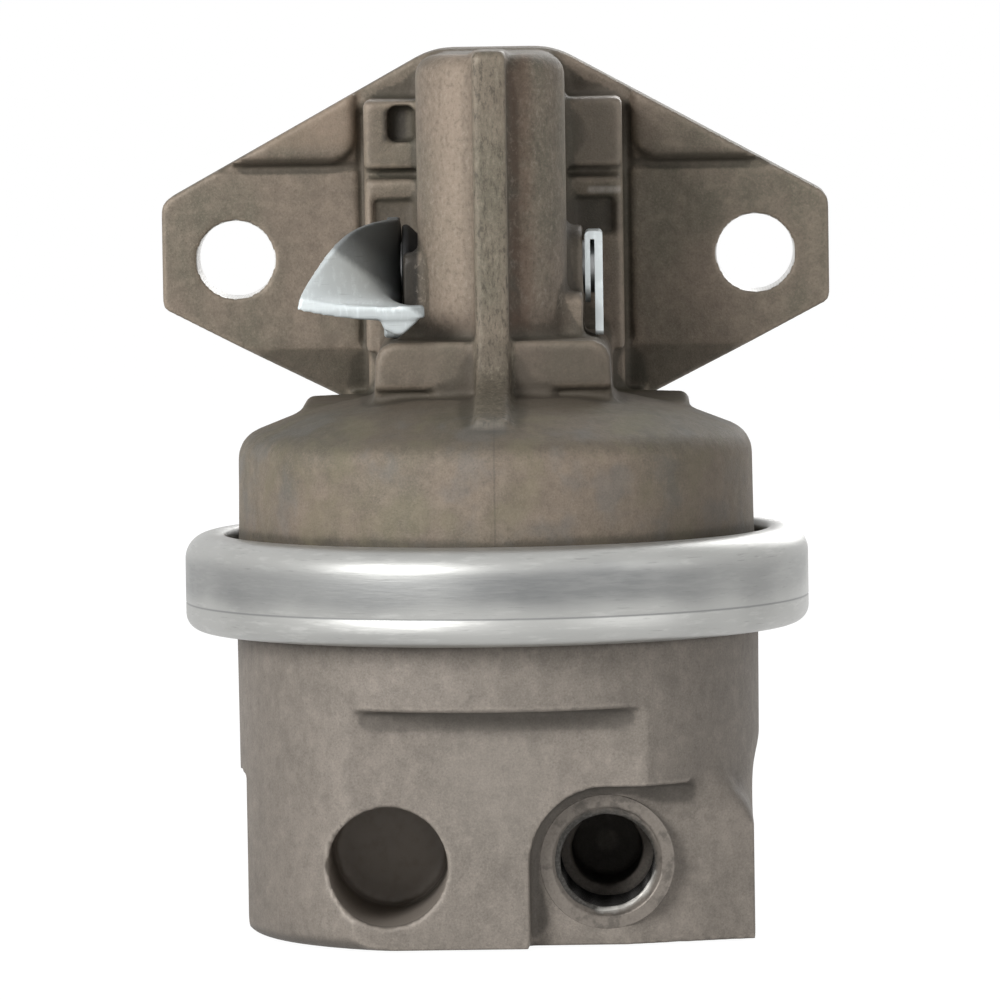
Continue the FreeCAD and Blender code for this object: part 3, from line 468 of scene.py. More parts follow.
def plating(name, base, grain, painted_light, metallic=0.85):
    """Plated and rolled steel: soft patches, fine scratches along the rolling, and painted shade laid over
    it.
    """
    plate = Finish(name, metallic=metallic, roughness=0.33)
    patch = plate.noise(16.0, 2.0, 0.45)
    fine = plate.noise(0.5, 4.0, 0.6, stretch=grain)
    scratch = plate.noise(0.16, 2.0, 0.5, stretch=(0.06, 0.06, 1.0))
    colour = plate.mix(plate.step(patch, 0.35, 0.72) * 0.6, base, tone(base, 0.75))
    colour = plate.mix(plate.step(fine, 0.50, 0.72) * 0.35, colour, tone(base, 1.35))
    colour = plate.mix(plate.step(scratch, 0.64, 0.72) * 0.35, colour, tone(base, 0.5))
    # The mask and the colour of the painted shade that the caller gives: a reflection band or a rim's shadow.
    mask, tarnish = painted_light(plate, patch, fine)
    plate.feed("Base Color", plate.mix(mask, colour, tarnish))
    plate.feed("Roughness", 0.28 + patch * 0.16 + fine * 0.10 + mask * 0.12)
    plate.feed("Normal", plate.bump(fine * 0.6 + scratch * 0.5 + patch * 0.8, 0.03, 0.7))
    return plate.material


def ring_reflection(plate, patch, fine):
    """A streaky grey band of painted reflection round the middle of the ring, and a fine line in its lower
    third.
    """
    # Painted reflection of dark surroundings, as a band round the ring's middle.
    band = plate.between(plate.z + (patch - 0.5) * 0.004, drawing("z", 38.6), drawing("z", 42.6), 0.0012)
    line = plate.band("z", 37.35, 37.55, 0.08)
    # The painted reflection is darker from the middle to the right and lighter at the right end.
    broad = plate.band("x", -3.0, 19.0, 6.0) * 0.32 - plate.along("x", 22.0, 32.0) * 0.24
    mask = band * (plate.step(patch, 0.30, 0.70) * 0.26 + plate.step(fine, 0.35, 0.65) * 0.12 + broad + 0.32)
    return mask.maths("MAXIMUM", mask, line * 0.6), (0.150, 0.155, 0.157, 1.0)


def lever_shadow(plate, patch, fine):
    """Painted shadow of the raised rim over the upper side of the scoop, and a darker lower lip."""
    # Metres past a slanting line through the scoop.
    across = (plate.x - drawing("x", -17.3)) * 0.602 + (plate.z - drawing("z", 76.3)) * 0.798
    ragged = (fine - 0.5) * 0.0006
    # Painted shadow, sharp-edged at the slanting line and deepening further up the scoop.
    rim_shadow = plate.step(across + ragged, -0.0002, 0.0009) * 0.70 + plate.step(across, 0.0006, 0.0036) * 0.24
    lip = plate.step(plate.z + ragged, drawing("z", 70.9), drawing("z", 70.2)) * 0.30
    left = plate.along("x", 2.0, -2.0)
    return left * rim_shadow.maths("MAXIMUM", rim_shadow, lip), (0.050, 0.052, 0.050, 1.0)


def tapped_port(name, face):
    """The outlet port: a smeared rim, a painted glint at the lower right of its mouth and painted shade, near
    black, further in.
    """
    port = Finish(name, metallic=0.55, roughness=0.42)
    fine = port.noise(0.3, 3.0, 0.6)
    smear = port.noise(1.8, 4.0, 0.6)
    depth = (port.y - drawing("y", OUTLET_FACE_Y)) + (smear - 0.5) * 0.001
    rim = port.mix(port.step(fine, 0.4, 0.7) * 0.5, face, tone(face, 0.7))
    rim = port.mix(port.step(smear, 0.50, 0.64) * 0.6, rim, tone(face, 0.35))
    thread = port.mix(port.step(fine, 0.4, 0.7), (0.040, 0.037, 0.032, 1.0), (0.090, 0.085, 0.078, 1.0))
    # A painted glint on the thread at the lower right of the mouth.
    corner = (port.x - drawing("x", OUTLET_X)) * 0.55 - (port.z - drawing("z", PORT_Z)) * 0.84
    painted_glint = port.step(corner + (smear - 0.5) * 0.003, 0.0036, 0.0052)
    thread = port.mix(painted_glint, thread, (0.62, 0.60, 0.56, 1.0))
    colour = port.mix(port.step(depth, 0.0003, 0.0010), rim, thread)
    # Painted shade, near black, deeper in the port.
    colour = port.mix(port.step(depth, 0.0012, 0.0024), colour, (0.010, 0.009, 0.008, 1.0))
    outside = port.step(port.away(OUTLET_X, PORT_Z), (THREAD_WALL_R - 0.10) * MM, (THREAD_WALL_R - 0.02) * MM)
    colour = port.mix(outside, colour, rim)
    port.feed("Base Color", colour)
    port.feed("Roughness", 0.36 + fine * 0.2)
    port.feed("Normal", port.bump(fine + smear * 0.5, 0.03, 0.7))
    return port.material


def plain_steel(name, base, rough=0.38, grain_mm=0.35):
    """Turned, ground or drawn steel with light oil stains."""
    steel = Finish(name, metallic=0.9, roughness=rough)
    stain = steel.noise(3.0, 4.0, 0.6)
    fine = steel.noise(grain_mm, 3.0, 0.6)
    colour = steel.mix(steel.step(stain, 0.4, 0.7) * 0.6, base, tone(base, 0.6))
    colour = steel.mix(steel.step(fine, 0.55, 0.75) * 0.4, colour, tone(base, 1.4))
    steel.feed("Base Color", colour)
    steel.feed("Roughness", stain * 0.2 + (rough - 0.08))
    steel.feed("Normal", steel.bump(fine, 0.02, 0.6))
    return steel.material


def forged_steel(name, base):
    """Forged and phosphated steel, with a ground pad."""
    steel = Finish(name, metallic=0.7, roughness=0.5)
    scale = steel.noise(1.6, 5.0, 0.62)
    pits = steel.cells(0.7)
    pad = steel.along("z", 80.2, 80.8) * steel.along("y", 62.0, 63.5)
    colour = steel.mix(steel.step(scale, 0.36, 0.68), tone(base, 0.55), base)
    colour = steel.mix(steel.step(steel.mark("worn"), 0.2, 0.8) * 0.5, colour, tone(base, 2.2))
    colour = steel.mix(pad, colour, (0.55, 0.55, 0.54, 1.0))
    steel.feed("Base Color", colour)
    steel.feed("Roughness", 0.34 + (1.0 - pad) * 0.24 + scale * 0.1)
    steel.feed("Normal", steel.bump((scale + pits * 0.3) * (1.0 - pad), 0.09, 0.8))
    return steel.material


def moulded_rubber(name, base, weave=False):
    """Black rubber with bloom, or the diaphragm's fabric-backed rubber."""
    rubber = Finish(name, roughness=0.6, Specular_IOR_Level=0.3)
    bloom = rubber.noise(2.0, 4.0, 0.6)
    rubber.feed("Base Color", rubber.mix(rubber.step(bloom, 0.45, 0.75) * 0.6, base, tone(base, 2.4)))
    rubber.feed("Roughness", 0.52 + bloom * 0.2)
    height = bloom
    if weave:
        threads = rubber.node("ShaderNodeTexWave", {"bands_direction": "X"},
                              {"Vector": rubber.place, "Scale": 420.0, "Distortion": 0.4})
        cross = rubber.node("ShaderNodeTexWave", {"bands_direction": "Y"},
                            {"Vector": rubber.place, "Scale": 420.0, "Distortion": 0.4})
        height = bloom * 0.3 + threads * cross
    rubber.feed("Normal", rubber.bump(height, 0.05, 0.7))
    return rubber.material


def turned_brass(name, base):
    """Brass or bronze with turning marks and brown tarnish."""
    brass = Finish(name, metallic=0.9, roughness=0.36)
    tarnish = brass.noise(2.2, 4.0, 0.6)
    rings = brass.noise(0.3, 2.0, 0.5, stretch=(0.2, 0.2, 1.0))
    colour = brass.mix(brass.step(tarnish, 0.4, 0.7) * 0.7, base, tone(base, 0.45))
    brass.feed("Base Color", colour)
    brass.feed("Roughness", 0.28 + tarnish * 0.2)
    brass.feed("Normal", brass.bump(rings, 0.02, 0.7))
    return brass.material


def finishes():
    """Every finish of the pump by its name, made once."""
    colours = bpy.context.scene.pump_finishes
    upper, lower = tuple(colours.cast_upper), tuple(colours.cast_lower)
    upper_stain_and_shade, lower_stain_and_shade = tuple(colours.upper_stain_and_shade), tuple(colours.lower_stain_and_shade)
    zinc, blue = tuple(colours.zinc), tuple(colours.blue_zinc)
    return {
        "cast_upper": cast_skin("cast_upper_skin", upper, upper_stain_and_shade, upper_work),
        "cast_lower": cast_skin("cast_lower_skin", lower, lower_stain_and_shade, lower_work),
        "ring_zinc": plating("ring_plating", zinc, (0.15, 0.15, 1.0), ring_reflection),
        "lever_zinc": plating("lever_plating", blue, (1.0, 0.3, 0.3), lever_shadow, 0.55),
        "port_face": tapped_port("tapped_port", tone(lower, 0.9)),
        "arm_steel": forged_steel("forged_arm", (0.16, 0.15, 0.14, 1.0)),
        "bronze": turned_brass("bush_bronze", (0.52, 0.30, 0.12, 1.0)),
        "pin_steel": plain_steel("ground_steel", (0.42, 0.42, 0.42, 1.0)),
        "plated_steel": plain_steel("passivated_steel", (0.46, 0.42, 0.28, 1.0), 0.42),
        "spring_steel": plain_steel("drawn_wire", (0.16, 0.16, 0.17, 1.0), 0.34, 0.2),
        "seal_rubber": moulded_rubber("seal_rubber_skin", (0.012, 0.012, 0.012, 1.0)),
        "diaphragm_rubber": moulded_rubber("diaphragm_skin", (0.020, 0.017, 0.015, 1.0), weave=True),
        "valve_brass": turned_brass("seat_brass", (0.55, 0.40, 0.16, 1.0)),
    }


# Meshes


def new_piece(name, mesh, finish, body, replaced=()):
    """Links a mesh as a piece that rides on a body and stands for its nodes."""
    piece = bpy.data.objects.new(name, mesh)
    bpy.context.scene.collection.objects.link(piece)
    mesh.materials.clear()
    mesh.materials.append(finish)
    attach(piece, body)
    if replaced:
        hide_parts(*replaced)
    return piece


def mesh_of(shape, name):
    """Turns a finished shape into a mesh."""
    mesh = bpy.data.meshes.new(name)
    shape.to_mesh(mesh)
    shape.free()
    return mesh


def welded_copy(node):
    """A closed copy of a node's mesh, in millimetres."""
    shape = bmesh.new()
    shape.from_mesh(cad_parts[node].data)
    bmesh.ops.scale(shape, vec=(1 / MM, 1 / MM, 1 / MM), verts=shape.verts)
    bmesh.ops.remove_doubles(shape, verts=shape.verts, dist=0.0005)
    return mesh_of(shape, node + "_copy")


def bridge(shape, rings):
    """Joins each closed ring of points to the next with four-sided faces, all facing outward."""
    for back, ahead in zip(rings, rings[1:]):
        for number in range(len(back)):
            after = (number + 1) % len(back)
            shape.faces.new((back[number], back[after], ahead[after], ahead[number]))
    bmesh.ops.recalc_face_normals(shape, faces=shape.faces)


def cylinder_tool(radius, near, far, x, z):
    """A cutter along Y, in the frame's millimetres."""
    shape = bmesh.new()
    turn = Matrix.Rotation(math.radians(90), 4, "X")
    middle = at(x, (near + far) / 2, z) / MM
    bmesh.ops.create_cone(shape, cap_ends=True, segments=96, radius1=radius, radius2=radius,
                          depth=far - near, matrix=Matrix.Translation(middle) @ turn)
    tool = bpy.data.objects.new("tool", mesh_of(shape, "tool"))
    bpy.context.scene.collection.objects.link(tool)
    return tool


def neighbour_mean(mesh):
    """A function that gives, for a value at each point of a mesh, the mean of its neighbours' values."""
    count = len(mesh.vertices)
    ends = np.empty(len(mesh.edges) * 2, dtype=np.int64)
    mesh.edges.foreach_get("vertices", ends)
    first, second = ends.reshape(-1, 2).T
    neighbours = np.bincount(ends, minlength=count)

    def around(values):
        total = np.bincount(first, values[second], count) + np.bincount(second, values[first], count)
        return total / neighbours

    return around


def points_of(mesh):
    """The places of a mesh's points, a row each."""
    places = np.empty(len(mesh.vertices) * 3)
    mesh.vertices.foreach_get("co", places)
    return places.reshape(-1, 3)


def in_drawing(places):
    """The x, y and z in the drawing of points in the frame's millimetres."""
    return (places - np.array(at(0, 0, 0)) / MM).T


def fair(mesh, weigh):
    """Smooths a mesh further where weigh(x, y, z), in the drawing's millimetres, is above 0."""
    rounds, pull = 60, 0.6
    around = neighbour_mean(mesh)
    places = points_of(mesh)
    weight = weigh(*in_drawing(places))
    for _ in range(rounds):
        for axis in range(3):
            values = places[:, axis]
            places[:, axis] = values + pull * weight * (around(values) - values)
    mesh.vertices.foreach_set("co", places.ravel())
    mesh.update()


def mark_edges(mesh, step):
    """Writes how far each point stands out on an edge, for wear, or lies in a corner, for grime and painted
    shade, from 0 to 1.
    """
    places = points_of(mesh)
    around = neighbour_mean(mesh)
    normals = np.empty(places.size)
    mesh.vertex_normals.foreach_get("vector", normals)
    middle = np.stack([around(places[:, axis]) for axis in range(3)], axis=1)
    # How far a point stands off its neighbours, as a curvature that doesn't depend on the step.
    bend = ((places - middle) * normals.reshape(-1, 3)).sum(axis=1) * 4 / step ** 2
    # The rounds that spread the grime equally far at any step.
    wide = max(4, round(4.0 / step ** 2))
    for name, rounds, full in (("worn", 3, 0.8), ("grimy_shaded", wide, -0.12)):
        eased = bend
        for _ in range(rounds):
            eased = (eased + around(eased)) / 2
        mark = mesh.attributes.new(name, "FLOAT", "POINT")
        mark.data.foreach_set("value", np.clip(eased / full, 0.0, 1.0).astype(np.float32))


def evaluated_mesh(source):
    """A new mesh from an object with its modifiers applied."""
    bpy.context.view_layer.update()
    return bpy.data.meshes.new_from_object(source.evaluated_get(bpy.context.evaluated_depsgraph_get()))


def thinned_mesh(source, dense, most_faces, hidden):
    """A dense mesh with fewer faces where it is hidden, or all over if nothing is."""
    source.modifiers.clear()
    source.data = dense
    thin = source.modifiers.new("Thin", "DECIMATE")
    if hidden is not None:
        group = source.vertex_groups.new(name="hidden")
        group.add(np.flatnonzero(hidden(*in_drawing(points_of(dense)))).tolist(), 1.0, "REPLACE")
        thin.vertex_group = group.name
    thin.ratio = most_faces / (len(dense.polygons) * 2)
    return evaluated_mesh(source)


def rounded_skin(node, step, rounds, most_faces, cuts=(), hidden=None, faired=None):
    """A node's shape with every edge eased, as a casting, forging or pressing has it.

    cuts are tools that are taken away first. faired(x, y, z) says how much further a point is smoothed, and
    hidden(x, y, z) where the mesh may be thinned when it has more than most_faces.
    """
    source = bpy.data.objects.new(node + "_source", welded_copy(node))
    bpy.context.scene.collection.objects.link(source)
    for tool in cuts:
        cut = source.modifiers.new("Cut", "BOOLEAN")
        cut.operation = "DIFFERENCE"
        cut.solver = "EXACT"
        cut.object = tool
    skin = source.modifiers.new("Skin", "REMESH")
    skin.mode = "VOXEL"
    skin.voxel_size = step
    ease = source.modifiers.new("Ease", "SMOOTH")
    ease.factor = 0.5
    ease.iterations = rounds
    result = evaluated_mesh(source)
    if faired is not None:
        fair(result, faired)
    mark_edges(result, step)
    if len(result.polygons) * 2 > most_faces:
        result = thinned_mesh(source, result, most_faces, hidden)
    for leftover in (source, *cuts):
        bpy.data.objects.remove(leftover)
    result.transform(Matrix.Scale(MM, 4))
    result.shade_smooth()
    return result


def turned_mesh(name, profile, centre, segments):
    """A closed surface of revolution from (radius, height) points in millimetres, about Z through centre."""
    shape = bmesh.new()
    rings = []
    for radius, height in profile:
        ring = []
        for number in range(segments):
            angle = math.tau * number / segments
            offset = (radius * math.cos(angle), radius * math.sin(angle), height)
            ring.append(shape.verts.new(centre + Vector(offset) * MM))
        rings.append(ring)
    bridge(shape, [*rings, rings[0]])
    mesh = mesh_of(shape, name)
    mesh.shade_smooth()
    return mesh


def coil_mesh(name, mean_r, wire_r, low, high, turns, x, y):
    """A coil spring whose end coils lie flat, in millimetres of the drawing."""
    shape = bmesh.new()
    steps_per_turn, sides, closed_turns = 48, 12, 1.0
    total = turns + 2 * closed_turns
    steps = int(total * steps_per_turn)
    span = high - low - 2 * wire_r
    # A closed coil rises by little more than the wire's width.
    shut = wire_r * 2.02
    rings = []
    for number in range(steps + 1):
        turned = total * number / steps
        if turned < closed_turns:
            height = shut * turned / closed_turns
        elif turned > total - closed_turns:
            height = span - shut * (total - turned) / closed_turns
        else:
            height = shut + (span - 2 * shut) * (turned - closed_turns) / turns
        angle = math.tau * turned
        outward = Vector((math.cos(angle), math.sin(angle), 0))
        middle = at(x, y, low + wire_r + height) + outward * (mean_r * MM)
        ring = []
        for side in range(sides):
            round_wire = math.tau * side / sides
            spoke = outward * math.cos(round_wire) + Vector((0, 0, math.sin(round_wire)))
            ring.append(shape.verts.new(middle + spoke * (wire_r * MM)))
        rings.append(ring)
    shape.faces.new(rings[0])
    shape.faces.new(rings[-1])
    bridge(shape, rings)
    mesh = mesh_of(shape, name)
    mesh.shade_smooth()
    return mesh


def thread_mesh(pitch, depth):
    """The tapped wall of the outlet port, with its countersink and the faced ring round its mouth."""
    front = OUTLET_FACE_Y - 0.04
    crest_r, length = 5.2, 13.8
    outer_r, mouth_r, ring_r = THREAD_WALL_R + 0.02, 6.26, 7.5
    ring_depth, chamfer, countersink = 0.3, 0.06, 1.0
    flat, flank = 0.14, 0.66
    segments, row = 128, 0.1
    shape = bmesh.new()

    def ring_at(radius_of, y):
        made = []
        for number in range(segments):
            angle = math.tau * number / segments
            radius = radius_of(angle)
            made.append(shape.verts.new(at(OUTLET_X + radius * math.cos(angle), y,
                                           PORT_Z + radius * math.sin(angle))))
        return made

    outline = [(outer_r, length), (outer_r, ring_depth), (ring_r, ring_depth), (ring_r, chamfer),
               (ring_r - chamfer, 0.0), (mouth_r, 0.0)]
    rings = [ring_at(lambda angle: radius, front + inward) for radius, inward in outline]
    for number in range(1, int(length / row) + 1):
        inward = number * row
        cone = crest_r + max(0.0, countersink - inward)

        def wall(angle):
            phase = (inward / pitch - angle / math.tau) % 1.0
            rise = min(1.0, max(0.0, (abs(2 * phase - 1) - flat) / flank))
            return max(cone, crest_r + depth * rise)

        rings.append(ring_at(wall, front + inward))
    bridge(shape, [*rings, rings[0]])
    return mesh_of(shape, "outlet_thread")


# Operators


def inside_upper(x, y, z):
    """Points of the upper casting in the diaphragm chamber, the mechanism space and the flat back."""
    chamber = (np.hypot(x, y) < CHAMBER_R) & (z < 57.8)
    tower_bore = (np.hypot(x, y) < 6.9) & (z > 69.4) & (z < 96.8)
    slot = (np.abs(x) < 6.8) & (y > 0.0) & (y < 34.0) & (z > 69.4) & (z < 89.5)
    opening = (np.abs(x) < 10.6) & (y > 27.0) & (z > 67.4) & (z < 90.2)
    return chamber | tower_bore | slot | opening | (y > MATING_Y - 0.08)


def inside_lower(x, y, z):
    """Points of the lower casting in the diaphragm chamber, the valve pockets and the passages."""
    chamber = (np.hypot(x, y) < CHAMBER_R + 0.6) & (z > 33.8)
    inlet = np.hypot(x - INLET_X, y - VALVE_Y) < VALVE_POCKET_R
    outlet = np.hypot(x - OUTLET_X, y - VALVE_Y) < VALVE_POCKET_R
    pockets = (z > 16.4) & (z < 37.0) & (inlet | outlet)
    return chamber | pockets | (z > 35.0)


def corner_facet(x, y, z):
    """1 round the chamfer above the lower casting's right corner, where the mould leaves no sharp edge."""
    middle_x, middle_z, reach, fade = 26.3, 17.6, 5.2, 1.5
    away = np.hypot(x - middle_x, z - middle_z)
    return np.clip((reach - away) / fade, 0.0, 1.0) * (y < 5.0)


class PUMP_OT_castings(bpy.types.Operator):
    """Make the upper and lower castings with their eased edges"""

    bl_idname = "pump.castings"
    bl_label = "Castings"

    def execute(self, context):
        shapes = context.scene.pump_shapes
        step, rounds = shapes.casting_step * 1.0, shapes.casting_rounds
        upper = rounded_skin("upper_body", step, rounds, most_faces=196000, hidden=inside_upper)
        new_piece("upper_casting", upper, finishes_made["cast_upper"], "casing", ["upper_body"])
        # The outlet's wall is opened up here for the tapped wall that the ports operator makes.
        port = cylinder_tool(THREAD_WALL_R, -24.0, -6.9, OUTLET_X, PORT_Z)
        lower = rounded_skin("lower_body", step, rounds, most_faces=190000, cuts=[port],
                             hidden=inside_lower, faired=corner_facet)
        new_piece("lower_casting", lower, finishes_made["cast_lower"], "casing", ["lower_body"])
        return {"FINISHED"}


class PUMP_OT_ports(bpy.types.Operator):
    """Make the outlet port's thread and faced ring"""

    bl_idname = "pump.ports"
    bl_label = "Ports"

    def execute(self, context):
        shapes = context.scene.pump_shapes
        mesh = thread_mesh(shapes.thread_pitch, shapes.thread_depth)
        new_piece("outlet_thread", mesh, finishes_made["port_face"], "casing")
        return {"FINISHED"}


class PUMP_OT_ring(bpy.types.Operator):
    """Make the rolled clamp ring"""

    bl_idname = "pump.ring"
    bl_label = "Rolled ring"

    def execute(self, context):
        low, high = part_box("crimp_ring")
        outer, bottom, top = high.x / MM, low.z / MM, high.z / MM
        inner = outer - 1.5
        lower_roll, upper_roll = 1.9, 2.8
        lower_lip_r, upper_lip_r = 29.76, 30.6
        groove_z, groove_half, groove_depth = bottom + 3.12, 0.12, 0.05
        profile = [(upper_lip_r, top - 1.5), (inner - 1.2, top - 1.5), (inner, top - 1.9),
                   (inner, bottom + 1.9), (inner - 0.6, bottom + 1.5), (lower_lip_r, bottom + 1.5),
                   (lower_lip_r, bottom + 0.35), (lower_lip_r + 0.34, bottom)]
        for number in range(13):
            angle = math.radians(-90 + 90 * number / 12)
            profile.append((outer - lower_roll + lower_roll * math.cos(angle),
                            bottom + lower_roll + lower_roll * math.sin(angle)))
        profile += [(outer, groove_z - groove_half), (outer - groove_depth, groove_z),
                    (outer, groove_z + groove_half)]
        for number in range(17):
            angle = math.radians(90 * number / 16)
            profile.append((outer - upper_roll + upper_roll * math.cos(angle),
                            top - upper_roll + upper_roll * math.sin(angle)))
        profile += [(upper_lip_r + 0.4, top), (upper_lip_r + 0.05, top - 0.25)]
        mesh = turned_mesh("rolled_ring", profile, at(0, 0, BOLT_Z), 320)
        new_piece("rolled_ring", mesh, finishes_made["ring_zinc"], "casing", ["crimp_ring"])
        return {"FINISHED"}


class PUMP_OT_primer(bpy.types.Operator):
    """Make the thumb lever and finish its shaft, end plate, boot and seal"""

    bl_idname = "pump.primer"
    bl_label = "Hand primer"

    def execute(self, context):
        step = context.scene.pump_shapes.sheet_step * 1.0
        lever = rounded_skin("primer_lever", step, rounds=4, most_faces=60000)
        new_piece("thumb_lever", lever, finishes_made["lever_zinc"], "primer", ["primer_lever"])
        dress("primer_end_plate", "lever_zinc")
        dress("primer_shaft", "pin_steel")
        dress("primer_boot", "seal_rubber")
        dress("primer_seal", "seal_rubber")
        return {"FINISHED"}


class PUMP_OT_rocker(bpy.types.Operator):
    """Make the forged rocker arm and finish its bush and pin"""

    bl_idname = "pump.rocker"
    bl_label = "Rocker arm"

    def execute(self, context):
        step = context.scene.pump_shapes.sheet_step * 1.3
        arm = rounded_skin("rocker_arm", step, rounds=6, most_faces=100000)
        new_piece("forged_rocker", arm, finishes_made["arm_steel"], "rocker", ["rocker_arm"])
        dress("rocker_bush", "bronze")
        dress("rocker_pin", "pin_steel")
        return {"FINISHED"}


class PUMP_OT_springs(bpy.types.Operator):
    """Make the four coil springs"""

    bl_idname = "pump.springs"
    bl_label = "Springs"

    def execute(self, context):
        # Piece, node, mean and wire radius, free turns, place, joint, fixed end and travel.
        springs = [
            ("delivery_spring", "diaphragm_spring", 9.5, 0.9, 3.0, 0.0, 0.0, "rod_lift", "top", 4.0),
            ("arm_spring", "rocker_return_spring", 4.6, 0.55, 3.5, 0.0, 0.0, "rod_lift", "top", 4.0),
            ("inlet_spring", "inlet_valve_spring", 2.6, 0.25, 1.6, INLET_X, VALVE_Y,
             "inlet_valve_lift", "top", 1.2),
            ("outlet_spring", "outlet_valve_spring", 2.6, 0.25, 1.6, OUTLET_X, VALVE_Y,
             "outlet_valve_lift", "bottom", 1.2),
        ]
        for name, node, mean_r, wire_r, turns, x, y, joint, fixed, travel in springs:
            low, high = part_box(node)
            bottom, top = low.z / MM + BOLT_Z, high.z / MM + BOLT_Z
            mesh = coil_mesh(name, mean_r, wire_r, bottom, top, turns, x, y)
            piece = new_piece(name, mesh, finishes_made["spring_steel"], "casing", [node])
            anchor = at(x, y, top if fixed == "top" else bottom)
            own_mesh(piece)
        return {"FINISHED"}


class PUMP_OT_diaphragm(bpy.types.Operator):
    """Finish the diaphragm, its plates, rod, seat and seal"""

    bl_idname = "pump.diaphragm"
    bl_label = "Diaphragm and rod"

    def execute(self, context):
        dress("diaphragm", "diaphragm_rubber")
        dress("diaphragm_rod", "pin_steel")
        dress("rod_seal", "seal_rubber")
        for node in ("upper_plate", "lower_plate", "seal_retainer", "return_spring_seat"):
            dress(node, "plated_steel")
        return {"FINISHED"}


class PUMP_OT_valves(bpy.types.Operator):
    """Finish the seats, cages and discs of both valves"""

    bl_idname = "pump.valves"
    bl_label = "Valves"

    def execute(self, context):
        for side in ("inlet", "outlet"):
            dress(side + "_valve_seat", "valve_brass")
            dress(side + "_valve_cage", "plated_steel")
            dress(side + "_valve_disc", "seal_rubber")
        return {"FINISHED"}


def dress(node, finish):
    """Gives a CAD node that stays as it is its finish."""
    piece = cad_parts[node]
    if not piece.material_slots:
        piece.data.materials.append(finishes_made[finish])
    for place in piece.material_slots:
        place.material = finishes_made[finish]


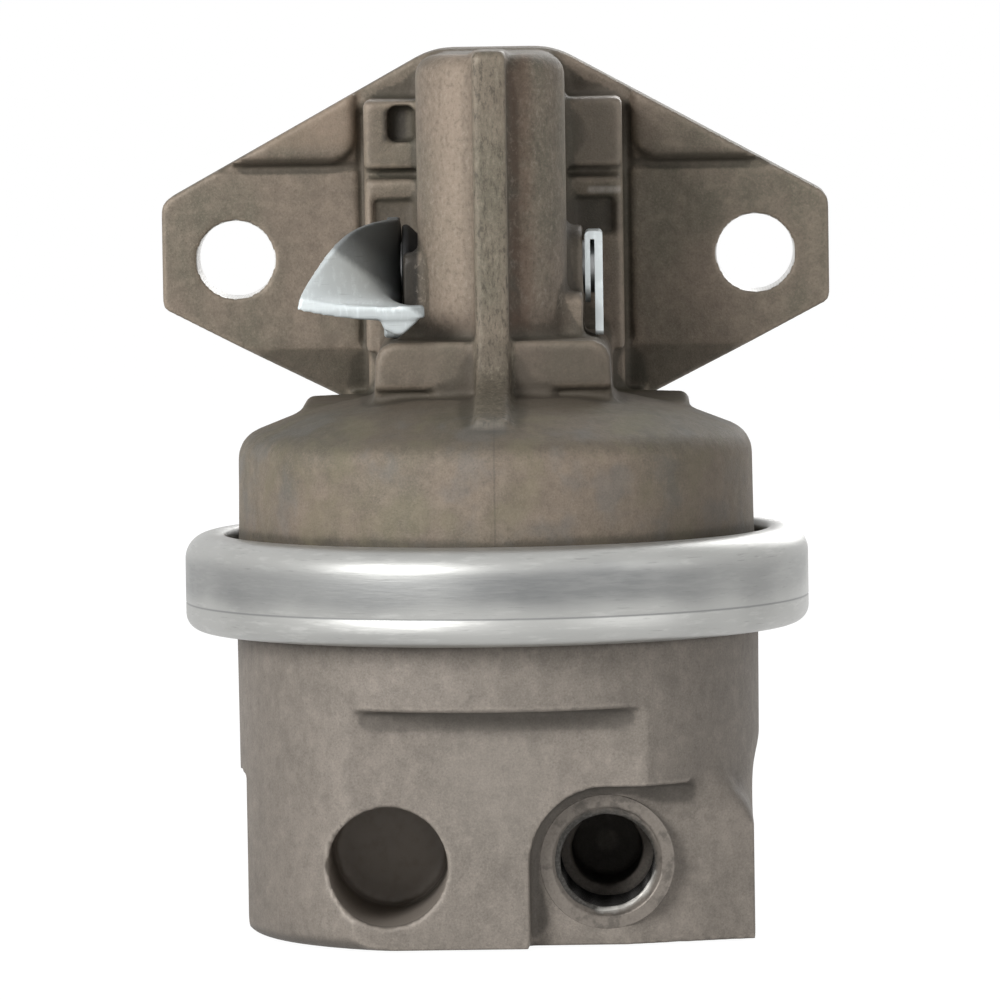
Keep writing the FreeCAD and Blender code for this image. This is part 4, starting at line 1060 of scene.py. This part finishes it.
class PUMP_OT_stage(bpy.types.Operator):
    """Make the floor, the lamps, the world and the camera"""

    bl_idname = "pump.stage"
    bl_label = "Stage"

    def execute(self, context):
        stage = context.scene.pump_stage
        context.scene.view_settings.view_transform = "Standard"
        self.make_world(stage.world)
        self.make_floor()
        self.make_lamp("key_lamp", at(-560, -760, 400), 0.45, stage.key)
        self.make_lamp("fill_lamp", at(620, -560, 260), 0.60, stage.fill)
        self.make_lamp("back_lamp", at(260, 700, 460), 0.60, stage.fill * 4.0)
        self.make_camera(stage)
        return {"FINISHED"}

    def make_world(self, strength):
        """Even light all round, and plain white where the camera or a reflection sees past the floor."""
        world = bpy.data.worlds.new("studio")
        bpy.context.scene.world = world
        world.use_nodes = True
        nodes, links = world.node_tree.nodes, world.node_tree.links
        even = nodes["Background"]
        even.inputs["Color"].default_value = (1.0, 1.0, 1.0, 1.0)
        even.inputs["Strength"].default_value = strength
        white = nodes.new("ShaderNodeBackground")
        white.inputs["Strength"].default_value = 1.0
        white.inputs["Color"].default_value = (1.0, 1.0, 1.0, 1.0)
        path = nodes.new("ShaderNodeLightPath")
        both = nodes.new("ShaderNodeMixShader")
        seen = path.outputs["Is Camera Ray"]
        for ray in ("Is Glossy Ray", "Is Transmission Ray"):
            either = nodes.new("ShaderNodeMath")
            either.operation = "MAXIMUM"
            links.new(seen, either.inputs[0])
            links.new(path.outputs[ray], either.inputs[1])
            seen = either.outputs[0]
        links.new(seen, both.inputs["Fac"])
        links.new(even.outputs[0], both.inputs[1])
        links.new(white.outputs[0], both.inputs[2])
        links.new(both.outputs[0], nodes["World Output"].inputs["Surface"])

    def make_floor(self):
        """A pale floor just under the pump, which the camera sees as nearly white, with the pump's shadow."""
        shape = bmesh.new()
        bmesh.ops.create_grid(shape, x_segments=1, y_segments=1, size=20.0)
        floor = bpy.data.objects.new("floor", mesh_of(shape, "floor"))
        floor.location = (0, 0, cad_low.z - 0.0002)
        bpy.context.scene.collection.objects.link(floor)
        pale = Finish("pale_floor", roughness=0.9, Base_Color=(0.88, 0.88, 0.88, 1.0))
        glow = pale.node("ShaderNodeEmission", {}, {"Color": (1.0, 1.0, 1.0, 1.0), "Strength": 1.07})
        seen = pale.node("ShaderNodeLightPath", {}, {}, "Is Camera Ray")
        for ray in ("Is Glossy Ray", "Is Transmission Ray"):
            seen = seen.maths("MAXIMUM", seen, pale.node("ShaderNodeLightPath", {}, {}, ray))
        matt = Shade(pale, pale.shader.outputs[0])
        both = pale.node("ShaderNodeMixShader", {}, {"Fac": seen * 0.9, 1: matt, 2: glow})
        pale.tree.links.new(both.socket, pale.tree.nodes["Material Output"].inputs["Surface"])
        floor.data.materials.append(pale.material)

    def make_lamp(self, name, place, size, power):
        """A round soft lamp that faces the pump."""
        lamp = bpy.data.lights.new(name, "AREA")
        lamp.shape = "DISK"
        lamp.size = size
        lamp.energy = power
        holder = bpy.data.objects.new(name, lamp)
        holder.location = place
        holder.rotation_mode = "QUATERNION"
        holder.rotation_quaternion = (at(0, 0, 50) - place).to_track_quat("-Z", "Y")
        bpy.context.scene.collection.objects.link(holder)

    def make_camera(self, stage):
        """The camera, which looks at the pump's middle from the front."""
        lens = bpy.data.cameras.new("camera")
        lens.lens = stage.lens
        lens.sensor_width = 36.0
        lens.clip_end = 20.0
        camera = bpy.data.objects.new("camera", lens)
        back = Vector((math.sin(stage.azimuth) * math.cos(stage.elevation),
                       -math.cos(stage.azimuth) * math.cos(stage.elevation), math.sin(stage.elevation)))
        aim = at(0.45, 0, 48.3)
        camera.location = aim + back * stage.distance
        camera.rotation_mode = "QUATERNION"
        lean = Quaternion((0, 0, 1), stage.roll)
        camera.rotation_quaternion = (-back).to_track_quat("-Z", "Y") @ lean
        bpy.context.scene.collection.objects.link(camera)
        bpy.context.scene.camera = camera


class PUMP_PT_panel(bpy.types.Panel):
    """Lists the pump's operators and sizes"""

    bl_idname = "PUMP_PT_panel"
    bl_label = "Fuel transfer pump"
    bl_space_type = "VIEW_3D"
    bl_region_type = "UI"
    bl_category = "Fuel pump"

    def draw(self, context):
        for group in (context.scene.pump_shapes, context.scene.pump_finishes, context.scene.pump_stage):
            for name in group.__annotations__:
                self.layout.prop(group, name)
        for operator in OPERATORS:
            self.layout.operator(operator.bl_idname)


OPERATORS = (PUMP_OT_castings, PUMP_OT_ports, PUMP_OT_ring, PUMP_OT_primer, PUMP_OT_rocker, PUMP_OT_springs,
             PUMP_OT_diaphragm, PUMP_OT_valves, PUMP_OT_stage)
GROUPS = {"pump_shapes": PumpShapes, "pump_finishes": PumpFinishes, "pump_stage": PumpStage}
finishes_made = {}


def register():
    for kind in (*GROUPS.values(), *OPERATORS, PUMP_PT_panel):
        bpy.utils.register_class(kind)
    for name, kind in GROUPS.items():
        setattr(bpy.types.Scene, name, bpy.props.PointerProperty(type=kind))


def unregister():
    for name in GROUPS:
        delattr(bpy.types.Scene, name)
    for kind in (PUMP_PT_panel, *reversed(OPERATORS), *GROUPS.values()):
        bpy.utils.unregister_class(kind)


def main():
    register()
    finishes_made.update(finishes())
    bpy.ops.pump.castings()
    bpy.ops.pump.ports()
    bpy.ops.pump.ring()
    bpy.ops.pump.primer()
    bpy.ops.pump.rocker()
    bpy.ops.pump.springs()
    bpy.ops.pump.diaphragm()
    bpy.ops.pump.valves()
    bpy.ops.pump.stage()


if __name__ == "__main__":
    main()
